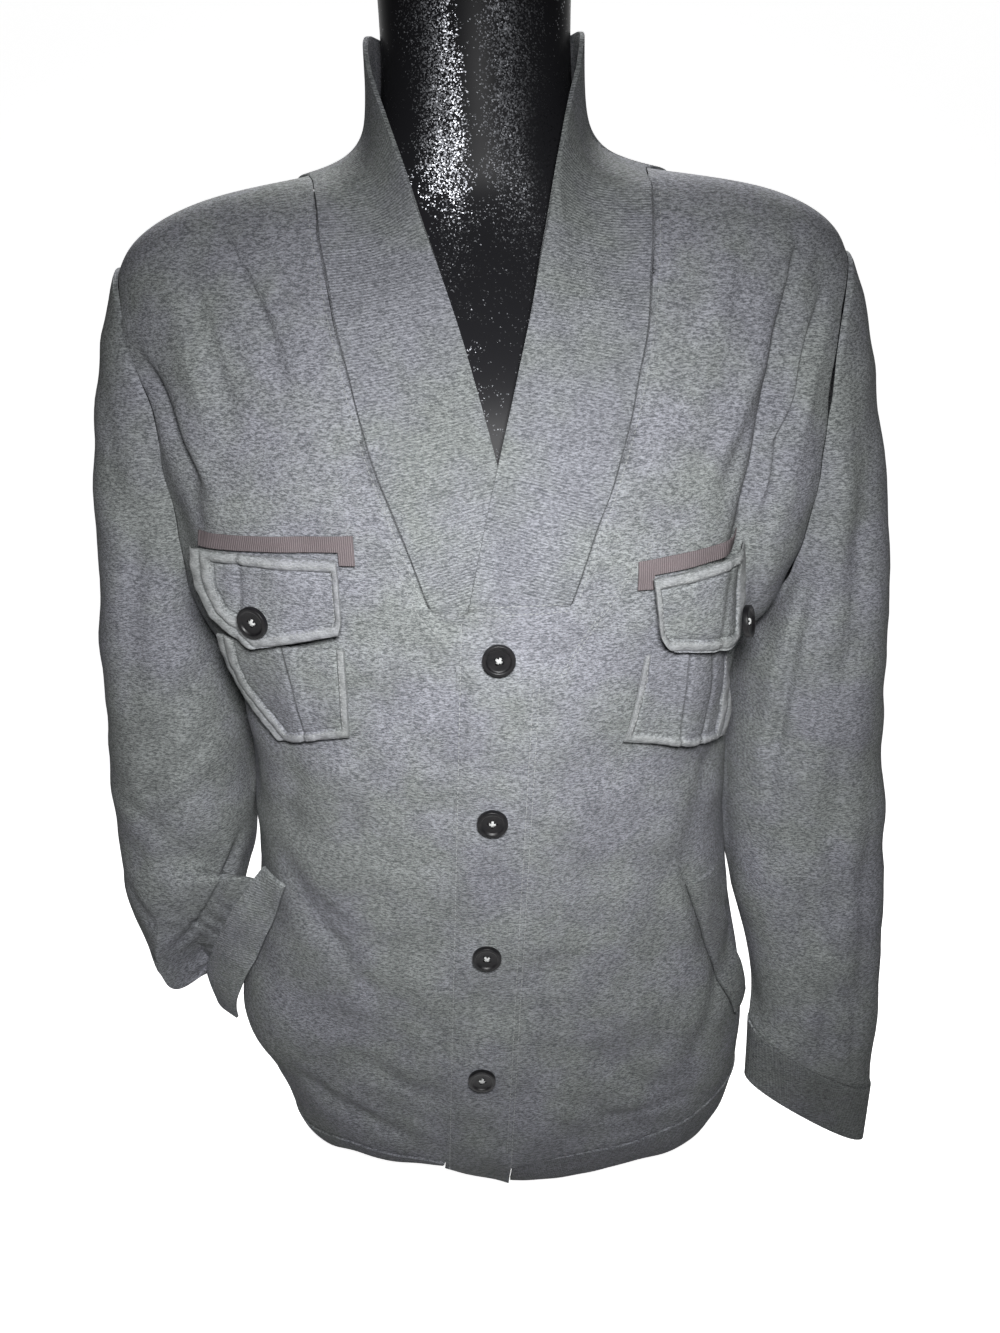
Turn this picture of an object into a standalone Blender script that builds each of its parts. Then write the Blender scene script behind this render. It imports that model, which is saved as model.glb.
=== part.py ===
"""Men's shawl collar cardigan in sweat jersey, buttoned on a limbless dress form.

Metres, +Z up. The front faces -Y and +X is the wearer's left. The origin is the
centre of the base that the dress form stands on. The body pieces are sheets of
points laid on one garment surface, which is cut in level slices, and thickened.
What is sewn on a front is laid on that front's own faces and moved out.
"""
import math

import bmesh
import bpy
import numpy as np
from mathutils import Euler, Vector
from mathutils.bvhtree import BVHTree

# ---- driving dimensions -------------------------------------------------
JERSEY = 0.0020            # thickness of the panels, sleeves and pockets
RIB = 0.0026               # collar, cuffs, hem band and welts are heavier
TAPE = 0.0010
SEAM = 0.0003              # gap left between two sewn pieces
LAY = 0.0009               # air between a piece and the panel it lies on

HEM_Z = 0.012              # lower edge of the hem band
BAND_TOP_Z = 0.046         # seam between the hem band and the panels, by the placket
BAND_START = 0.0012        # the band begins this far from the placket
COLLAR_FOOT_Z = 0.500      # level seam where the collar ends on the placket
HEM_CORNER = 0.023         # the corner of the upper placket is drawn up by this
CORNER_START = 0.026       # and the rise begins this far from the button line
BAND_OUT = 0.0012          # the band stands out from the panels
BAND_ROLL = 0.0060         # and rolls in towards its edge
HEM_TUCK = 0.023           # the foot of the under placket is drawn up by this
ARMPIT_Z = 0.456
TIP_Z = 0.680              # shoulder tip, top of the armhole
NECK_POINT_Z = 0.7275      # where the shoulder seam meets the collar
NAPE_Z = 0.713             # neck seam at the centre back

OVERLAP = 0.024            # each placket passes the button line by this
NECK_CLEAR = 0.0030        # the fronts keep this much more off the collar at the neck
PLACKET_SEAM = 0.024       # and its inner stitching is this far from the line
CROSS_LIFT = RIB + LAY     # the upper front stands this far off the under one
UNDER_DROP = 0.0066        # the under half of the collar lies this far behind the upper

SLICE_POWER = 2.4          # squareness of a level slice: 2 is an ellipse
ARMHOLE_POWER = 2.2
ARMHOLE_FRONT = 0.060      # reach of the armhole before and behind the shoulder
ARMHOLE_BACK = 0.058
SLEEVE_POWER = 2.3
TURNS = tuple(range(0, 360, 20))

CAP_LEAVE = (0.31, -0.70)   # the cap sets out from the armhole: outwards and down
CAP_ARRIVE = (0.06, -0.95)  # and meets the sleeve proper
CAP_LEVELS = (0.0, 0.10, 0.25, 0.42, 0.60, 0.80)

BUTTON_R = 0.0095
BUTTON_T = 0.0034
BUTTON_Z = (0.472, 0.362, 0.254, 0.147)

# Level slices through the body of the garment, from the hem up.
SLICES = (
    # z,    wearer's right side, left side, front, back
    (0.012, 0.159, 0.174, 0.081, 0.088),
    (0.044, 0.167, 0.183, 0.090, 0.096),
    (0.090, 0.177, 0.188, 0.099, 0.106),
    (0.140, 0.188, 0.190, 0.104, 0.112),
    (0.200, 0.184, 0.179, 0.109, 0.108),
    (0.260, 0.174, 0.169, 0.114, 0.099),
    (0.330, 0.170, 0.163, 0.122, 0.094),
    (0.390, 0.170, 0.164, 0.130, 0.097),
    (0.430, 0.175, 0.171, 0.135, 0.102),
    (0.460, 0.188, 0.188, 0.138, 0.106),
    (0.510, 0.205, 0.207, 0.138, 0.112),
    (0.560, 0.213, 0.216, 0.133, 0.116),
    (0.610, 0.219, 0.222, 0.120, 0.114),
    (0.650, 0.224, 0.226, 0.099, 0.101),
    (0.680, 0.219, 0.222, 0.078, 0.085),
    (0.695, 0.208, 0.213, 0.066, 0.075),
    (0.708, 0.187, 0.194, 0.054, 0.066),
    (0.718, 0.159, 0.167, 0.043, 0.058),
    (0.728, 0.098, 0.098, 0.030, 0.050),
)

# The hem all round: it is drawn up unevenly, most on the wearer's right front.
HEM_LINE = (
    # angle from the centre front, lower edge z, seam z
    (-180.0, 0.014, 0.058),
    (-120.0, 0.012, 0.054),
    (-90.0, 0.012, 0.050),
    (-60.0, 0.024, 0.051),
    (-40.0, 0.033, 0.057),
    (-20.0, 0.035, 0.053),
    (-10.0, 0.035, 0.046),
    (0.0, 0.014, 0.046),
    (4.0, 0.014, 0.046),
    (17.0, 0.016, 0.054),
    (30.0, 0.023, 0.058),
    (55.0, 0.025, 0.074),
    (90.0, 0.018, 0.078),
    (130.0, 0.014, 0.066),
    (180.0, 0.014, 0.058),
)

# One half of the collar. The first rows go round the back of the neck, where the
# seam is found from the slices; the rest run down the front to the collar's foot.
COLLAR = (
    # seam x, z,     free x, y,      z,     flare
    (None, None, 0.0000, 0.0560, 0.796, 6.0),
    (None, None, 0.0380, 0.0460, 0.798, 7.0),
    (None, None, 0.0570, 0.0220, 0.801, 8.0),
    (0.0980, 0.7275, 0.0605, -0.0020, 0.800, 8.0),
    (0.0955, 0.7060, 0.0560, -0.0290, 0.777, 6.0),
    (0.0900, 0.6700, 0.0460, -0.0510, 0.746, 3.4),
    (0.0840, 0.6400, 0.0350, -0.0700, 0.707, 1.8),
    (0.0755, 0.6050, 0.0230, -0.0925, 0.663, 1.2),
    (0.0655, 0.5730, 0.0105, -0.1150, 0.616, 1.0),
    (0.0530, 0.5380, -0.0030, -0.1340, 0.566, 1.0),
    (0.0400, 0.5000, -0.0180, -0.1415, 0.500, 1.0),
)
BACK_STATIONS = 3
COLLAR_SHARES = (0.0, 0.05, 0.13, 0.30, 0.62, 1.0)     # rows of points up the stand
CROWN = 0.004              # the lapel part is padded out by this

# Soft valleys of the fronts beside the armholes, where the cloth folds in.
VALLEYS = (
    # side, top x, z,     foot x, z,     depth, half width
    (1, 0.182, 0.645, 0.154, 0.510, 0.021, 0.014),
    (1, 0.154, 0.510, 0.160, 0.420, 0.020, 0.013),
    (-1, 0.198, 0.620, 0.186, 0.500, 0.010, 0.015),
    (-1, 0.150, 0.700, 0.128, 0.610, 0.004, 0.016),
)

# Rings down the sleeves, below the shoulder cap. Turns are in degrees: pitch
# raises the front of a ring, yaw swings it inwards, roll lowers its outer side.
LEFT_SLEEVE = (
    # x,     y,      z,     wide,   deep,   pitch, yaw, roll
    (0.2225, 0.003, 0.420, 0.0495, 0.0600, 0, 0, 0),
    (0.2203, 0.006, 0.372, 0.0545, 0.0580, 0, 0, 0),
    (0.2222, 0.006, 0.325, 0.0575, 0.0550, 0, 0, 0),
    (0.2269, 0.000, 0.275, 0.0578, 0.0510, 0, 0, 3),
    (0.2326, -0.008, 0.225, 0.0561, 0.0460, 0, 0, 9),
    (0.2391, -0.018, 0.175, 0.0522, 0.0400, 0, 0, 17),
    (0.2425, -0.027, 0.130, 0.0505, 0.0330, 0, 0, 27),
    (0.2400, -0.031, 0.096, 0.0565, 0.0270, 0, 0, 32),
)
LEFT_CUFF = (
    (0.2400, -0.031, 0.0952, 0.0565, 0.0265, 0, 0, 32),
    (0.2400, -0.032, 0.067, 0.0575, 0.0205, 0, 0, 34),
    (0.2395, -0.033, 0.042, 0.0575, 0.0155, 0, 0, 34),
)
RIGHT_SLEEVE = (
    (0.2200, 0.000, 0.420, 0.0433, 0.0600, 0, 0, 0),
    (0.2215, 0.006, 0.372, 0.0482, 0.0600, 0, 0, 0),
    (0.2237, 0.006, 0.325, 0.0508, 0.0600, 8, 0, 0),
    (0.2275, 0.002, 0.287, 0.0485, 0.0600, 22, 4, 0),
    (0.2300, -0.006, 0.256, 0.0455, 0.0590, 42, 10, 0),
    (0.2300, -0.020, 0.237, 0.0390, 0.0580, 60, 22, 0),
    (0.2230, -0.040, 0.225, 0.0265, 0.0565, 76, 38, 0),
)

# Outlines sewn on the fronts: inner and outer edge of each row, from the button
# side towards the armhole. x is the distance from the garment's middle.
FLAPS = {
    # side: ((inner x, z, outer x, z), ...) from the top down
    -1: ((0.0795, 0.5310, 0.1630, 0.5315), (0.0790, 0.5180, 0.1640, 0.5200),
         (0.0790, 0.5060, 0.1640, 0.5070), (0.0790, 0.4960, 0.1580, 0.4930),
         (0.0815, 0.4880, 0.1330, 0.4760)),
    1: ((0.0885, 0.5165, 0.1540, 0.5245), (0.0900, 0.5050, 0.1555, 0.5080),
        (0.0915, 0.4930, 0.1560, 0.4900), (0.0930, 0.4810, 0.1550, 0.4740),
        (0.0990, 0.4725, 0.1530, 0.4650)),
}
POCKETS = {
    -1: ((0.0815, 0.4760, 0.1580, 0.4760), (0.0815, 0.4600, 0.1570, 0.4560),
         (0.0820, 0.4450, 0.1530, 0.4390), (0.0825, 0.4300, 0.1410, 0.4210),
         (0.0830, 0.4190, 0.1285, 0.4055)),
    1: ((0.0885, 0.4680, 0.1500, 0.4720), (0.0865, 0.4540, 0.1500, 0.4540),
        (0.0840, 0.4390, 0.1500, 0.4340), (0.0805, 0.4240, 0.1490, 0.4120),
        (0.0775, 0.4115, 0.1450, 0.3905)),
}
TAPES = {
    # side: inner x, top z; outer x, top z; width of the tape; foot of the leg
    -1: (0.0725, 0.5425, 0.1680, 0.5375, 0.0090, 0.5255),
    1: (0.0835, 0.5240, 0.1540, 0.5310, 0.0090, 0.5075),
}
PLEAT = (0.110, 0.124)     # the box pleat of a pocket lies between these
PLEAT_RISE = 0.0012
PLEAT_SIDE = 0.004         # width of the slope up to it
POCKET_EASE = 0.0006       # the pocket's outer part stands off a little more
POCKET_EASE_X = 0.138
FLAP_OUT = 2 * (LAY + JERSEY) + PLEAT_RISE

# The slanted side-pocket mouths: free edge of the welt, as angle from the centre
# front in degrees and height.
WELTS = {
    # side: angle at the top, z; angle at the foot, z
    -1: (62.0, 0.292, 86.0, 0.150),
    1: (57.0, 0.290, 73.0, 0.160),
}
WELT_WIDTH = 11.5          # degrees
WELT_SLANT = 0.0046        # the sewn edge lies this much lower than the free one
TUCKED_WALL = 0.0012
WELT_GAPE = 0.0085         # the tucked sleeve holds the right mouth open by this
FOOT_GAPE = 1.2            # and more near its foot, as a share of that
TUCKED = (
    # across the welt, half thickness, middle's height, half width as share of mouth
    (-0.42, 0.0080, 0.0115, 0.39),
    (-0.12, 0.0036, 0.0050, 0.40),
    (0.10, 0.0030, 0.0043, 0.37),
    (0.13, 0.0030, 0.0043, 0.36),
    (0.45, 0.0022, 0.0032, 0.32),
)
SLEEVE_ENDS = 3            # rows of that table that belong to the sleeve

# The cuff tucked in the pocket pushes the wearer's right front outwards.
BULGE = 0.015
BULGE_MIDDLE = (-0.180, 0.158)
BULGE_REACH = (0.032, 0.042)
BULGE_FADE = 8.0           # degrees over which it dies away at the side seam

# The button line leans a little to the wearer's right on its way to the hem.
LINE_X = 0.007
LINE_LEAN = 0.028
NECK_LEAN = 0.008

BUTTON_PROFILE = (
    # radius, height over the middle
    (0.0, 0.0007), (0.0058, 0.0007), (0.0070, 0.0017), (0.0086, 0.0017),
    (BUTTON_R, 0.0009), (BUTTON_R, -0.0009), (0.0086, -0.0017), (0.0, -0.0017),
)
BUTTON_SEAT = 0.006        # the cloth's slope under a button is taken this far out
FLAP_BUTTONS = {
    # side: x, z, air over the flap
    -1: (0.1255, 0.4950, 0.0009),
    1: (0.1425, 0.4850, 0.0034),
}
CAP_OUT = 0.0020           # the armhole seam of a sleeve stands off the panels

# The limbless dress form, whole and smooth.
FORM = (
    # z,    side,  front, back
    (0.000, 0.114, 0.037, 0.062),
    (0.010, 0.128, 0.049, 0.070),
    (0.030, 0.146, 0.061, 0.079),
    (0.056, 0.157, 0.073, 0.087),
    (0.090, 0.165, 0.084, 0.094),
    (0.140, 0.169, 0.090, 0.099),
    (0.200, 0.162, 0.095, 0.096),
    (0.260, 0.153, 0.100, 0.088),
    (0.330, 0.147, 0.107, 0.083),
    (0.400, 0.148, 0.115, 0.086),
    (0.450, 0.152, 0.120, 0.091),
    (0.510, 0.160, 0.119, 0.097),
    (0.560, 0.167, 0.112, 0.099),
    (0.610, 0.171, 0.099, 0.096),
    (0.650, 0.164, 0.079, 0.084),
    (0.680, 0.140, 0.060, 0.069),
    (0.700, 0.112, 0.050, 0.059),
    (0.718, 0.084, 0.045, 0.050),
    (0.738, 0.063, 0.044, 0.044),
    (0.765, 0.0555, 0.045, 0.041),
    (0.800, 0.0545, 0.046, 0.041),
    (0.840, 0.0560, 0.047, 0.043),
    (0.862, 0.0560, 0.047, 0.043),
)
FORM_POWER = 2.2
FORM_TOP_Z = 0.868

# Heights of the rows of points on the body panels.
BODY_ROWS = (BAND_TOP_Z, 0.090, 0.120, 0.158, 0.196, 0.236, 0.280, 0.330, 0.372, 0.410,
             0.440, 0.462, 0.482, 0.500)
CHEST_ROWS = (0.526, 0.553, 0.581, 0.608, 0.633, 0.654, 0.668, 0.6762, 0.6800, 0.6890,
              0.6980, 0.7080, 0.7180, 0.7245)
SHOULDER_ROW = 0.7272      # the fronts run up to the shoulder seam by the neck
BACK_COLUMNS = 15
FLAP_COLUMNS = 9
POCKET_COLUMNS = 10
# Columns of a front, as shares from the collar seam or placket to the side; they
# are closest where the cloth folds in towards the armhole.
FRONT_SHARES = (0.0, 0.16, 0.32, 0.43, 0.50, 0.56, 0.63, 0.74, 0.88, 1.0)


def column(table, index):
    return [row[index] for row in table]


def smooth(value):
    t = min(1.0, max(0.0, value))
    return t * t * (3.0 - 2.0 * t)


def mix(a, b, share):
    return a + (b - a) * share


def run(start, stop, count):
    return [mix(start, stop, i / (count - 1)) for i in range(count)]


def along(keys, values, key):
    """Value at a key between two of the keys, on a cubic through the values."""
    key = min(max(key, keys[0]), keys[-1])
    i = min(int(np.searchsorted(keys, key, side="right")) - 1, len(keys) - 2)
    span = keys[i + 1] - keys[i]

    def slope(j):
        low, high = max(j - 1, 0), min(j + 1, len(keys) - 1)
        return (values[high] - values[low]) / (keys[high] - keys[low])

    t = (key - keys[i]) / span
    return (values[i] * (2 * t**3 - 3 * t**2 + 1) + span * slope(i) * (t**3 - 2 * t**2 + t)
            + values[i + 1] * (3 * t**2 - 2 * t**3) + span * slope(i + 1) * (t**3 - t**2))


# ---- the garment's surface ----------------------------------------------
def side_at(z, side):
    return along(column(SLICES, 0), column(SLICES, 1 if side < 0 else 2), z)


def depth_at(z, front=True):
    return along(column(SLICES, 0), column(SLICES, 3 if front else 4), z)


def button_line(z):
    if z < COLLAR_FOOT_Z:
        return LINE_X - LINE_LEAN * (COLLAR_FOOT_Z - z) / COLLAR_FOOT_Z
    return LINE_X - NECK_LEAN * smooth((z - 0.62) / 0.17)


def valley_depth(x, z):
    total = 0.0
    for side, x0, z0, x1, z1, depth, width in VALLEYS:
        t = (z0 - z) / (z0 - z1)
        fade = smooth((t + 0.20) / 0.34) * smooth((1.20 - t) / 0.34)
        total += depth * fade * math.exp(-((x * side - mix(x0, x1, t)) / width) ** 2)
    return total


def cuff_bulge(angle, x, z):
    if angle > 0.0:
        return 0.0
    away = ((x - BULGE_MIDDLE[0]) / BULGE_REACH[0], (z - BULGE_MIDDLE[1]) / BULGE_REACH[1])
    fade = smooth((90.0 + angle) / BULGE_FADE)
    return BULGE * fade * math.exp(-away[0] ** 2 - away[1] ** 2)


def slice_point(angle, z):
    """Point of the plain garment form; angle in degrees from the centre front."""
    s, c = math.sin(math.radians(angle)), math.cos(math.radians(angle))
    x = side_at(z, s) * math.copysign(abs(s) ** (2 / SLICE_POWER), s)
    y = -depth_at(z, c > 0) * math.copysign(abs(c) ** (2 / SLICE_POWER), c)
    return Vector((x, y, z))


def slice_normal(angle, z):
    low, high = max(z - 0.004, SLICES[0][0]), min(z + 0.004, SLICES[-1][0])
    across = slice_point(angle + 1.5, z) - slice_point(angle - 1.5, z)
    return across.cross(slice_point(angle, high) - slice_point(angle, low)).normalized()


def cloth_point(angle, z, out=0.0):
    """Point of the draped cloth, moved out along the form's normal."""
    base = slice_point(angle, z)
    if abs(angle) < 90.0:
        out += cuff_bulge(angle, base.x, z) - valley_depth(base.x, z)
    return base + slice_normal(angle, z) * out


def angle_of(x, z):
    """Angle from the centre front of the point of the front at x."""
    ratio = min(1.0, abs(x) / side_at(z, x))
    return math.copysign(math.degrees(math.asin(ratio ** (SLICE_POWER / 2))), x)


def armhole_reach(share, front):
    """How far the armhole lies from the shoulder line; share runs -1 to 1 in height."""
    reach = ARMHOLE_FRONT if front else ARMHOLE_BACK
    return reach * max(0.0, 1.0 - abs(share) ** ARMHOLE_POWER) ** (1 / ARMHOLE_POWER)


def armhole_angle(z, front=True):
    """Angle of a panel's outer edge; 90 is the side seam and the shoulder seam."""
    share = (z - (TIP_Z + ARMPIT_Z) / 2) / ((TIP_Z - ARMPIT_Z) / 2)
    away = armhole_reach(share, front) / depth_at(z, front)
    lean = math.degrees(math.acos(min(1.0, away) ** (SLICE_POWER / 2)))
    return lean if front else 180.0 - lean


def hem_line(angle, index):
    turn = angle - 360.0 if angle > 180.0 else angle
    return along(column(HEM_LINE, 0), column(HEM_LINE, index), turn)


def band_top(angle):
    return hem_line(angle, 2)


def cross_lift(reach):
    """Height of the upper placket over the under one; reach from the button line."""
    return CROSS_LIFT * (1.0 - smooth((reach - 0.026) / 0.030))


# ---- objects ------------------------------------------------------------
def material(name, colour, roughness, metallic=0.0):
    made = bpy.data.materials.new(name)
    made.use_nodes = True
    shader = made.node_tree.nodes["Principled BSDF"]
    shader.inputs["Base Color"].default_value = (*colour, 1.0)
    shader.inputs["Roughness"].default_value = roughness
    shader.inputs["Metallic"].default_value = metallic
    return made


def clear_scene():
    for item in list(bpy.data.objects):
        bpy.data.objects.remove(item, do_unlink=True)


def collection(name):
    made = bpy.data.collections.new(name)
    bpy.context.scene.collection.children.link(made)
    return made


def add_object(name, mesh, finish):
    """Turns a bmesh into an object of the part."""
    data = bpy.data.meshes.new(name)
    mesh.to_mesh(data)
    mesh.free()
    item = bpy.data.objects.new(name, data)
    PARTS.objects.link(item)
    data.materials.append(finish)
    data.shade_smooth()
    return item


def grid(rows, ring=False):
    """Faces over rows of points, leaving out those that touch a None."""
    mesh = bmesh.new()
    verts = [[p if p is None else mesh.verts.new(p) for p in row] for row in rows]
    for low, high in zip(verts, verts[1:]):
        last = len(low) if ring else len(low) - 1
        for i in range(last):
            j = (i + 1) % len(low)
            corners = (low[i], low[j], high[j], high[i])
            if None not in corners:
                mesh.faces.new(corners)
    for vert in [v for v in mesh.verts if not v.link_faces]:
        mesh.verts.remove(vert)
    return mesh


def sheet(name, rows, finish, thickness, ring=False):
    """Cloth whose outer face runs through the points; its wall grows inwards."""
    item = add_object(name, grid(rows, ring), finish)
    wall = item.modifiers.new("wall", "SOLIDIFY")
    wall.thickness = thickness
    wall.offset = -1.0
    wall.use_even_offset = True
    return item


def facing_out(rows, side):
    """Rows run from the middle outwards; the wearer's right needs them reversed."""
    return rows if side > 0 else [row[::-1] for row in rows]


# ---- body panels --------------------------------------------------------
def seam_x(z):
    """Distance of the collar seam from the button line at a height on the front."""
    rows = sorted(COLLAR[BACK_STATIONS:], key=lambda row: row[1])
    return along(column(rows, 1), column(rows, 0), z)


def front_panel(name, side, over):
    """One front: placket, side seam, armhole, shoulder and collar seam.

    The upper front rides on the under one where the plackets cross. The placket
    runs on to the hem; the rest of the panel ends on the hem band."""
    plackets = (-OVERLAP, -OVERLAP / 2, 0.0, PLACKET_SEAM / 2, PLACKET_SEAM)

    def point(angle, z, rolled=0.0):
        reach = side * (slice_point(angle, z).x - button_line(z))
        return cloth_point(angle, z, (cross_lift(reach) if over else 0.0) - rolled)

    rows = []
    for z in (HEM_Z,) + BODY_ROWS + CHEST_ROWS + (SHOULDER_ROW,):
        middle = button_line(z)
        below_collar = z <= COLLAR_FOOT_Z
        row = []
        for reach in plackets:
            level = min(z, COLLAR_FOOT_Z - SEAM)
            if z == HEM_Z:
                share = (CORNER_START - reach) / (CORNER_START + OVERLAP)
                level += HEM_CORNER * max(0.0, share) if over else HEM_TUCK
            angle = angle_of(middle + side * reach, level)
            rolled = BAND_ROLL if z == HEM_Z else 0.0
            row.append(point(angle, level, rolled) if below_collar else None)
        clear = 3 * SEAM + NECK_CLEAR * smooth((z - NAPE_Z) / (NECK_POINT_Z - NAPE_Z))
        first = abs(angle_of(middle + side * (seam_x(z) + clear), z))
        last = armhole_angle(z) - math.degrees(SEAM / side_at(z, side))
        for angle in (mix(first, last, share) for share in FRONT_SHARES):
            level = band_top(side * angle) if z == BAND_TOP_Z else z
            row.append(point(side * angle, level) if z > HEM_Z else None)
        rows.append(row)
    rows = facing_out(rows, side)
    mesh = grid(rows)
    FRONT_FACES[side] = BVHTree.FromBMesh(mesh)
    mesh.free()
    return sheet(name, rows, JERSEY_FINISH, JERSEY)


def nape_level(z, share):
    """The top rows of the back rise from the nape to the shoulder seam."""
    rise = (NECK_POINT_Z - NAPE_Z) * smooth((z - TIP_Z) / (NAPE_Z - TIP_Z))
    return z + rise * share


def back_panel():
    rows = []
    for z in BODY_ROWS + tuple(level for level in CHEST_ROWS if level < NAPE_Z) + (NAPE_Z,):
        row = []
        for share in run(-1.0, 1.0, BACK_COLUMNS):
            level = nape_level(z, abs(share))
            if z == BAND_TOP_Z:
                level = band_top(180.0 + 90.0 * share if share < 0.0 else 90.0 * share - 180.0)
            edge = armhole_angle(level, front=False) + math.degrees(SEAM / side_at(z, share))
            turn = mix(180.0, edge, abs(share))
            row.append(cloth_point(turn if share < 0 else -turn, level))
        rows.append(row)
    return sheet("back", rows, JERSEY_FINISH, JERSEY)


def hem_bands():
    """Three lengths of band under the panels, rolled in a little at the edge."""
    levels = run(1.0, 0.0, 4)

    def band_point(angle, drop):
        z = mix(band_top(angle) - 3 * SEAM, hem_line(angle, 1), drop)
        return cloth_point(angle, z, BAND_OUT - BAND_ROLL * drop ** 2)

    for name, side in (("hem_left", 1), ("hem_right", -1)):
        rows = []
        for drop in levels:
            z = mix(BAND_TOP_Z, HEM_Z, drop)
            middle = button_line(z)
            start = abs(angle_of(middle + side * (PLACKET_SEAM + BAND_START), z))
            first = abs(angle_of(middle + side * (seam_x(z) + 3 * SEAM), z))
            turns = [start] + [mix(first, 89.9, share) for share in FRONT_SHARES]
            rows.append([band_point(side * angle, drop) for angle in turns])
        sheet(name, facing_out(rows, side), RIB_FINISH, RIB)
    turns = run(90.1, 269.9, BACK_COLUMNS)
    rows = [[band_point(angle, drop) for angle in turns] for drop in levels]
    sheet("hem_back", rows, RIB_FINISH, RIB)


# ---- collar -------------------------------------------------------------
def neck_seam_point(station, side, over):
    """Point of the neck seam, from the centre back (0) to the collar's foot."""
    if station <= BACK_STATIONS:
        share = station / BACK_STATIONS
        level = mix(NAPE_Z, NECK_POINT_Z, share) + 2 * SEAM
        return cloth_point(side * mix(180.0, 90.0, share), min(level, SLICES[-1][0]))
    stations = list(range(BACK_STATIONS, len(COLLAR)))
    z = along(stations, column(COLLAR[BACK_STATIONS:], 1), station)
    reach = seam_x(z) - 4 * SEAM
    angle = angle_of(button_line(z) + side * reach, z)
    return cloth_point(angle, z, cross_lift(reach) if over else 0.0)


def collar_half(name, side, over):
    """One rib half: it stands round the neck and lies on the chest lower down."""
    stations = [i / 2 for i in range(2 * len(COLLAR) - 1)]
    keys = list(range(len(COLLAR)))
    rows = []
    for station in stations:
        seam = neck_seam_point(station, side, over)
        free_x, free_y, free_z, flare = (along(keys, column(COLLAR, i), station)
                                         for i in (2, 3, 4, 5))
        free = Vector((button_line(free_z) + side * free_x, free_y, free_z))
        if station == 0:
            seam.x = free.x = side * SEAM / 2
        if not over:
            free.y += UNDER_DROP * smooth((0.66 - free_z) / 0.05)
        row = []
        for share in COLLAR_SHARES:
            across = 1.0 - (1.0 - share) ** flare
            point = Vector((mix(seam.x, free.x, across), mix(seam.y, free.y, across),
                            mix(seam.z, free.z, share)))
            crown = smooth((0.70 - point.z) / 0.06) * smooth((point.z - 0.53) / 0.07)
            point.y -= CROWN * math.sin(math.pi * share) * crown
            row.append(point)
        rows.append(row)
    return sheet(name, facing_out(rows, -side), RIB_FINISH, RIB)


# ---- sleeves ------------------------------------------------------------
def ring(row, side, turn):
    """Point of a sleeve ring: 0 is its outer side, 90 its front, 180 the body side."""
    x, y, z, wide, deep, pitch, yaw, roll = row
    s, c = math.sin(math.radians(turn)), math.cos(math.radians(turn))
    across = wide * math.copysign(abs(c) ** (2 / SLEEVE_POWER), c)
    forward = deep * math.copysign(abs(s) ** (2 / SLEEVE_POWER), s)
    tilt = Euler((math.radians(-pitch), math.radians(roll), math.radians(-yaw)), "XYZ")
    point = Vector((x, y, z)) + tilt.to_matrix() @ Vector((across, -forward, 0.0))
    return Vector((side * point.x, point.y, point.z))


def armhole_point(side, turn):
    """The armhole seam, in the same turns as a sleeve ring."""
    share = math.cos(math.radians(turn))
    z = mix(ARMPIT_Z, TIP_Z, (share + 1) / 2)
    front = turn < 180.0
    angle = side * armhole_angle(z, front)
    point = cloth_point(angle, z)
    return point + Vector((side * CAP_OUT, 0.0, 0.0))


def shoulder_cap(side, first_ring, turns, levels):
    """Rings that swing from the upright armhole down to the first level ring."""
    rows = []
    for t in levels:
        row = []
        for turn in turns:
            start, end = armhole_point(side, turn), ring(first_ring, side, turn)
            reach = (end - start).length
            leave = Vector((side * CAP_LEAVE[0], 0.0, CAP_LEAVE[1])) * reach
            arrive = Vector((side * CAP_ARRIVE[0], 0.0, CAP_ARRIVE[1])) * reach
            row.append(start * (2 * t**3 - 3 * t**2 + 1) + leave * (t**3 - 2 * t**2 + t)
                       + end * (3 * t**2 - 2 * t**3) + arrive * (t**3 - t**2))
        rows.append(row)
    return rows


def sleeve(name, side, table, end_rings=()):
    rows = shoulder_cap(side, table[0], TURNS, CAP_LEVELS)
    rows += [[ring(row, side, turn) for turn in TURNS] for row in table]
    rows += end_rings
    return sheet(name, facing_out(rows, -side), JERSEY_FINISH, JERSEY, ring=True)


def cuff(name, side, rows, thickness):
    return sheet(name, facing_out(rows, -side), RIB_FINISH, thickness, ring=True)


# ---- pieces sewn on the fronts ------------------------------------------
def on_front(angle, z, out, side=None):
    """Point at a clear distance off a front's own faces, along the form's normal."""
    normal = slice_normal(angle, z)
    faces = FRONT_FACES[side or (1 if angle > 0 else -1)]
    hit, facing = faces.ray_cast(slice_point(angle, z) + normal * 0.06, -normal, 0.12)[:2]
    if hit is None:
        return cloth_point(angle, z, out)
    return hit + normal * (out / max(0.5, abs(facing.dot(normal))))


def patch_rows(side, table, columns, out):
    rows = []
    for inner_x, inner_z, outer_x, outer_z in reversed(table):
        row = []
        for share in run(0.0, 1.0, columns):
            x, z = mix(inner_x, outer_x, share), mix(inner_z, outer_z, share)
            height = out(x) if callable(out) else out
            row.append(on_front(angle_of(side * x, z), z, height))
        rows.append(row)
    return facing_out(rows, side)


def pocket(name, side):
    """Patch pocket; its box pleat stands a little proud of the cloth."""
    def out(x):
        pleat = smooth((x - PLEAT[0]) / PLEAT_SIDE) * smooth((PLEAT[1] - x) / PLEAT_SIDE)
        ease = POCKET_EASE * smooth((x - POCKET_EASE_X) / PLEAT_SIDE)
        return LAY + JERSEY + PLEAT_RISE * pleat + ease
    return sheet(name, patch_rows(side, POCKETS[side], POCKET_COLUMNS, out), JERSEY_FINISH, JERSEY)


def flap(name, side):
    return sheet(name, patch_rows(side, FLAPS[side], FLAP_COLUMNS, FLAP_OUT), JERSEY_FINISH, JERSEY)


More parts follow.
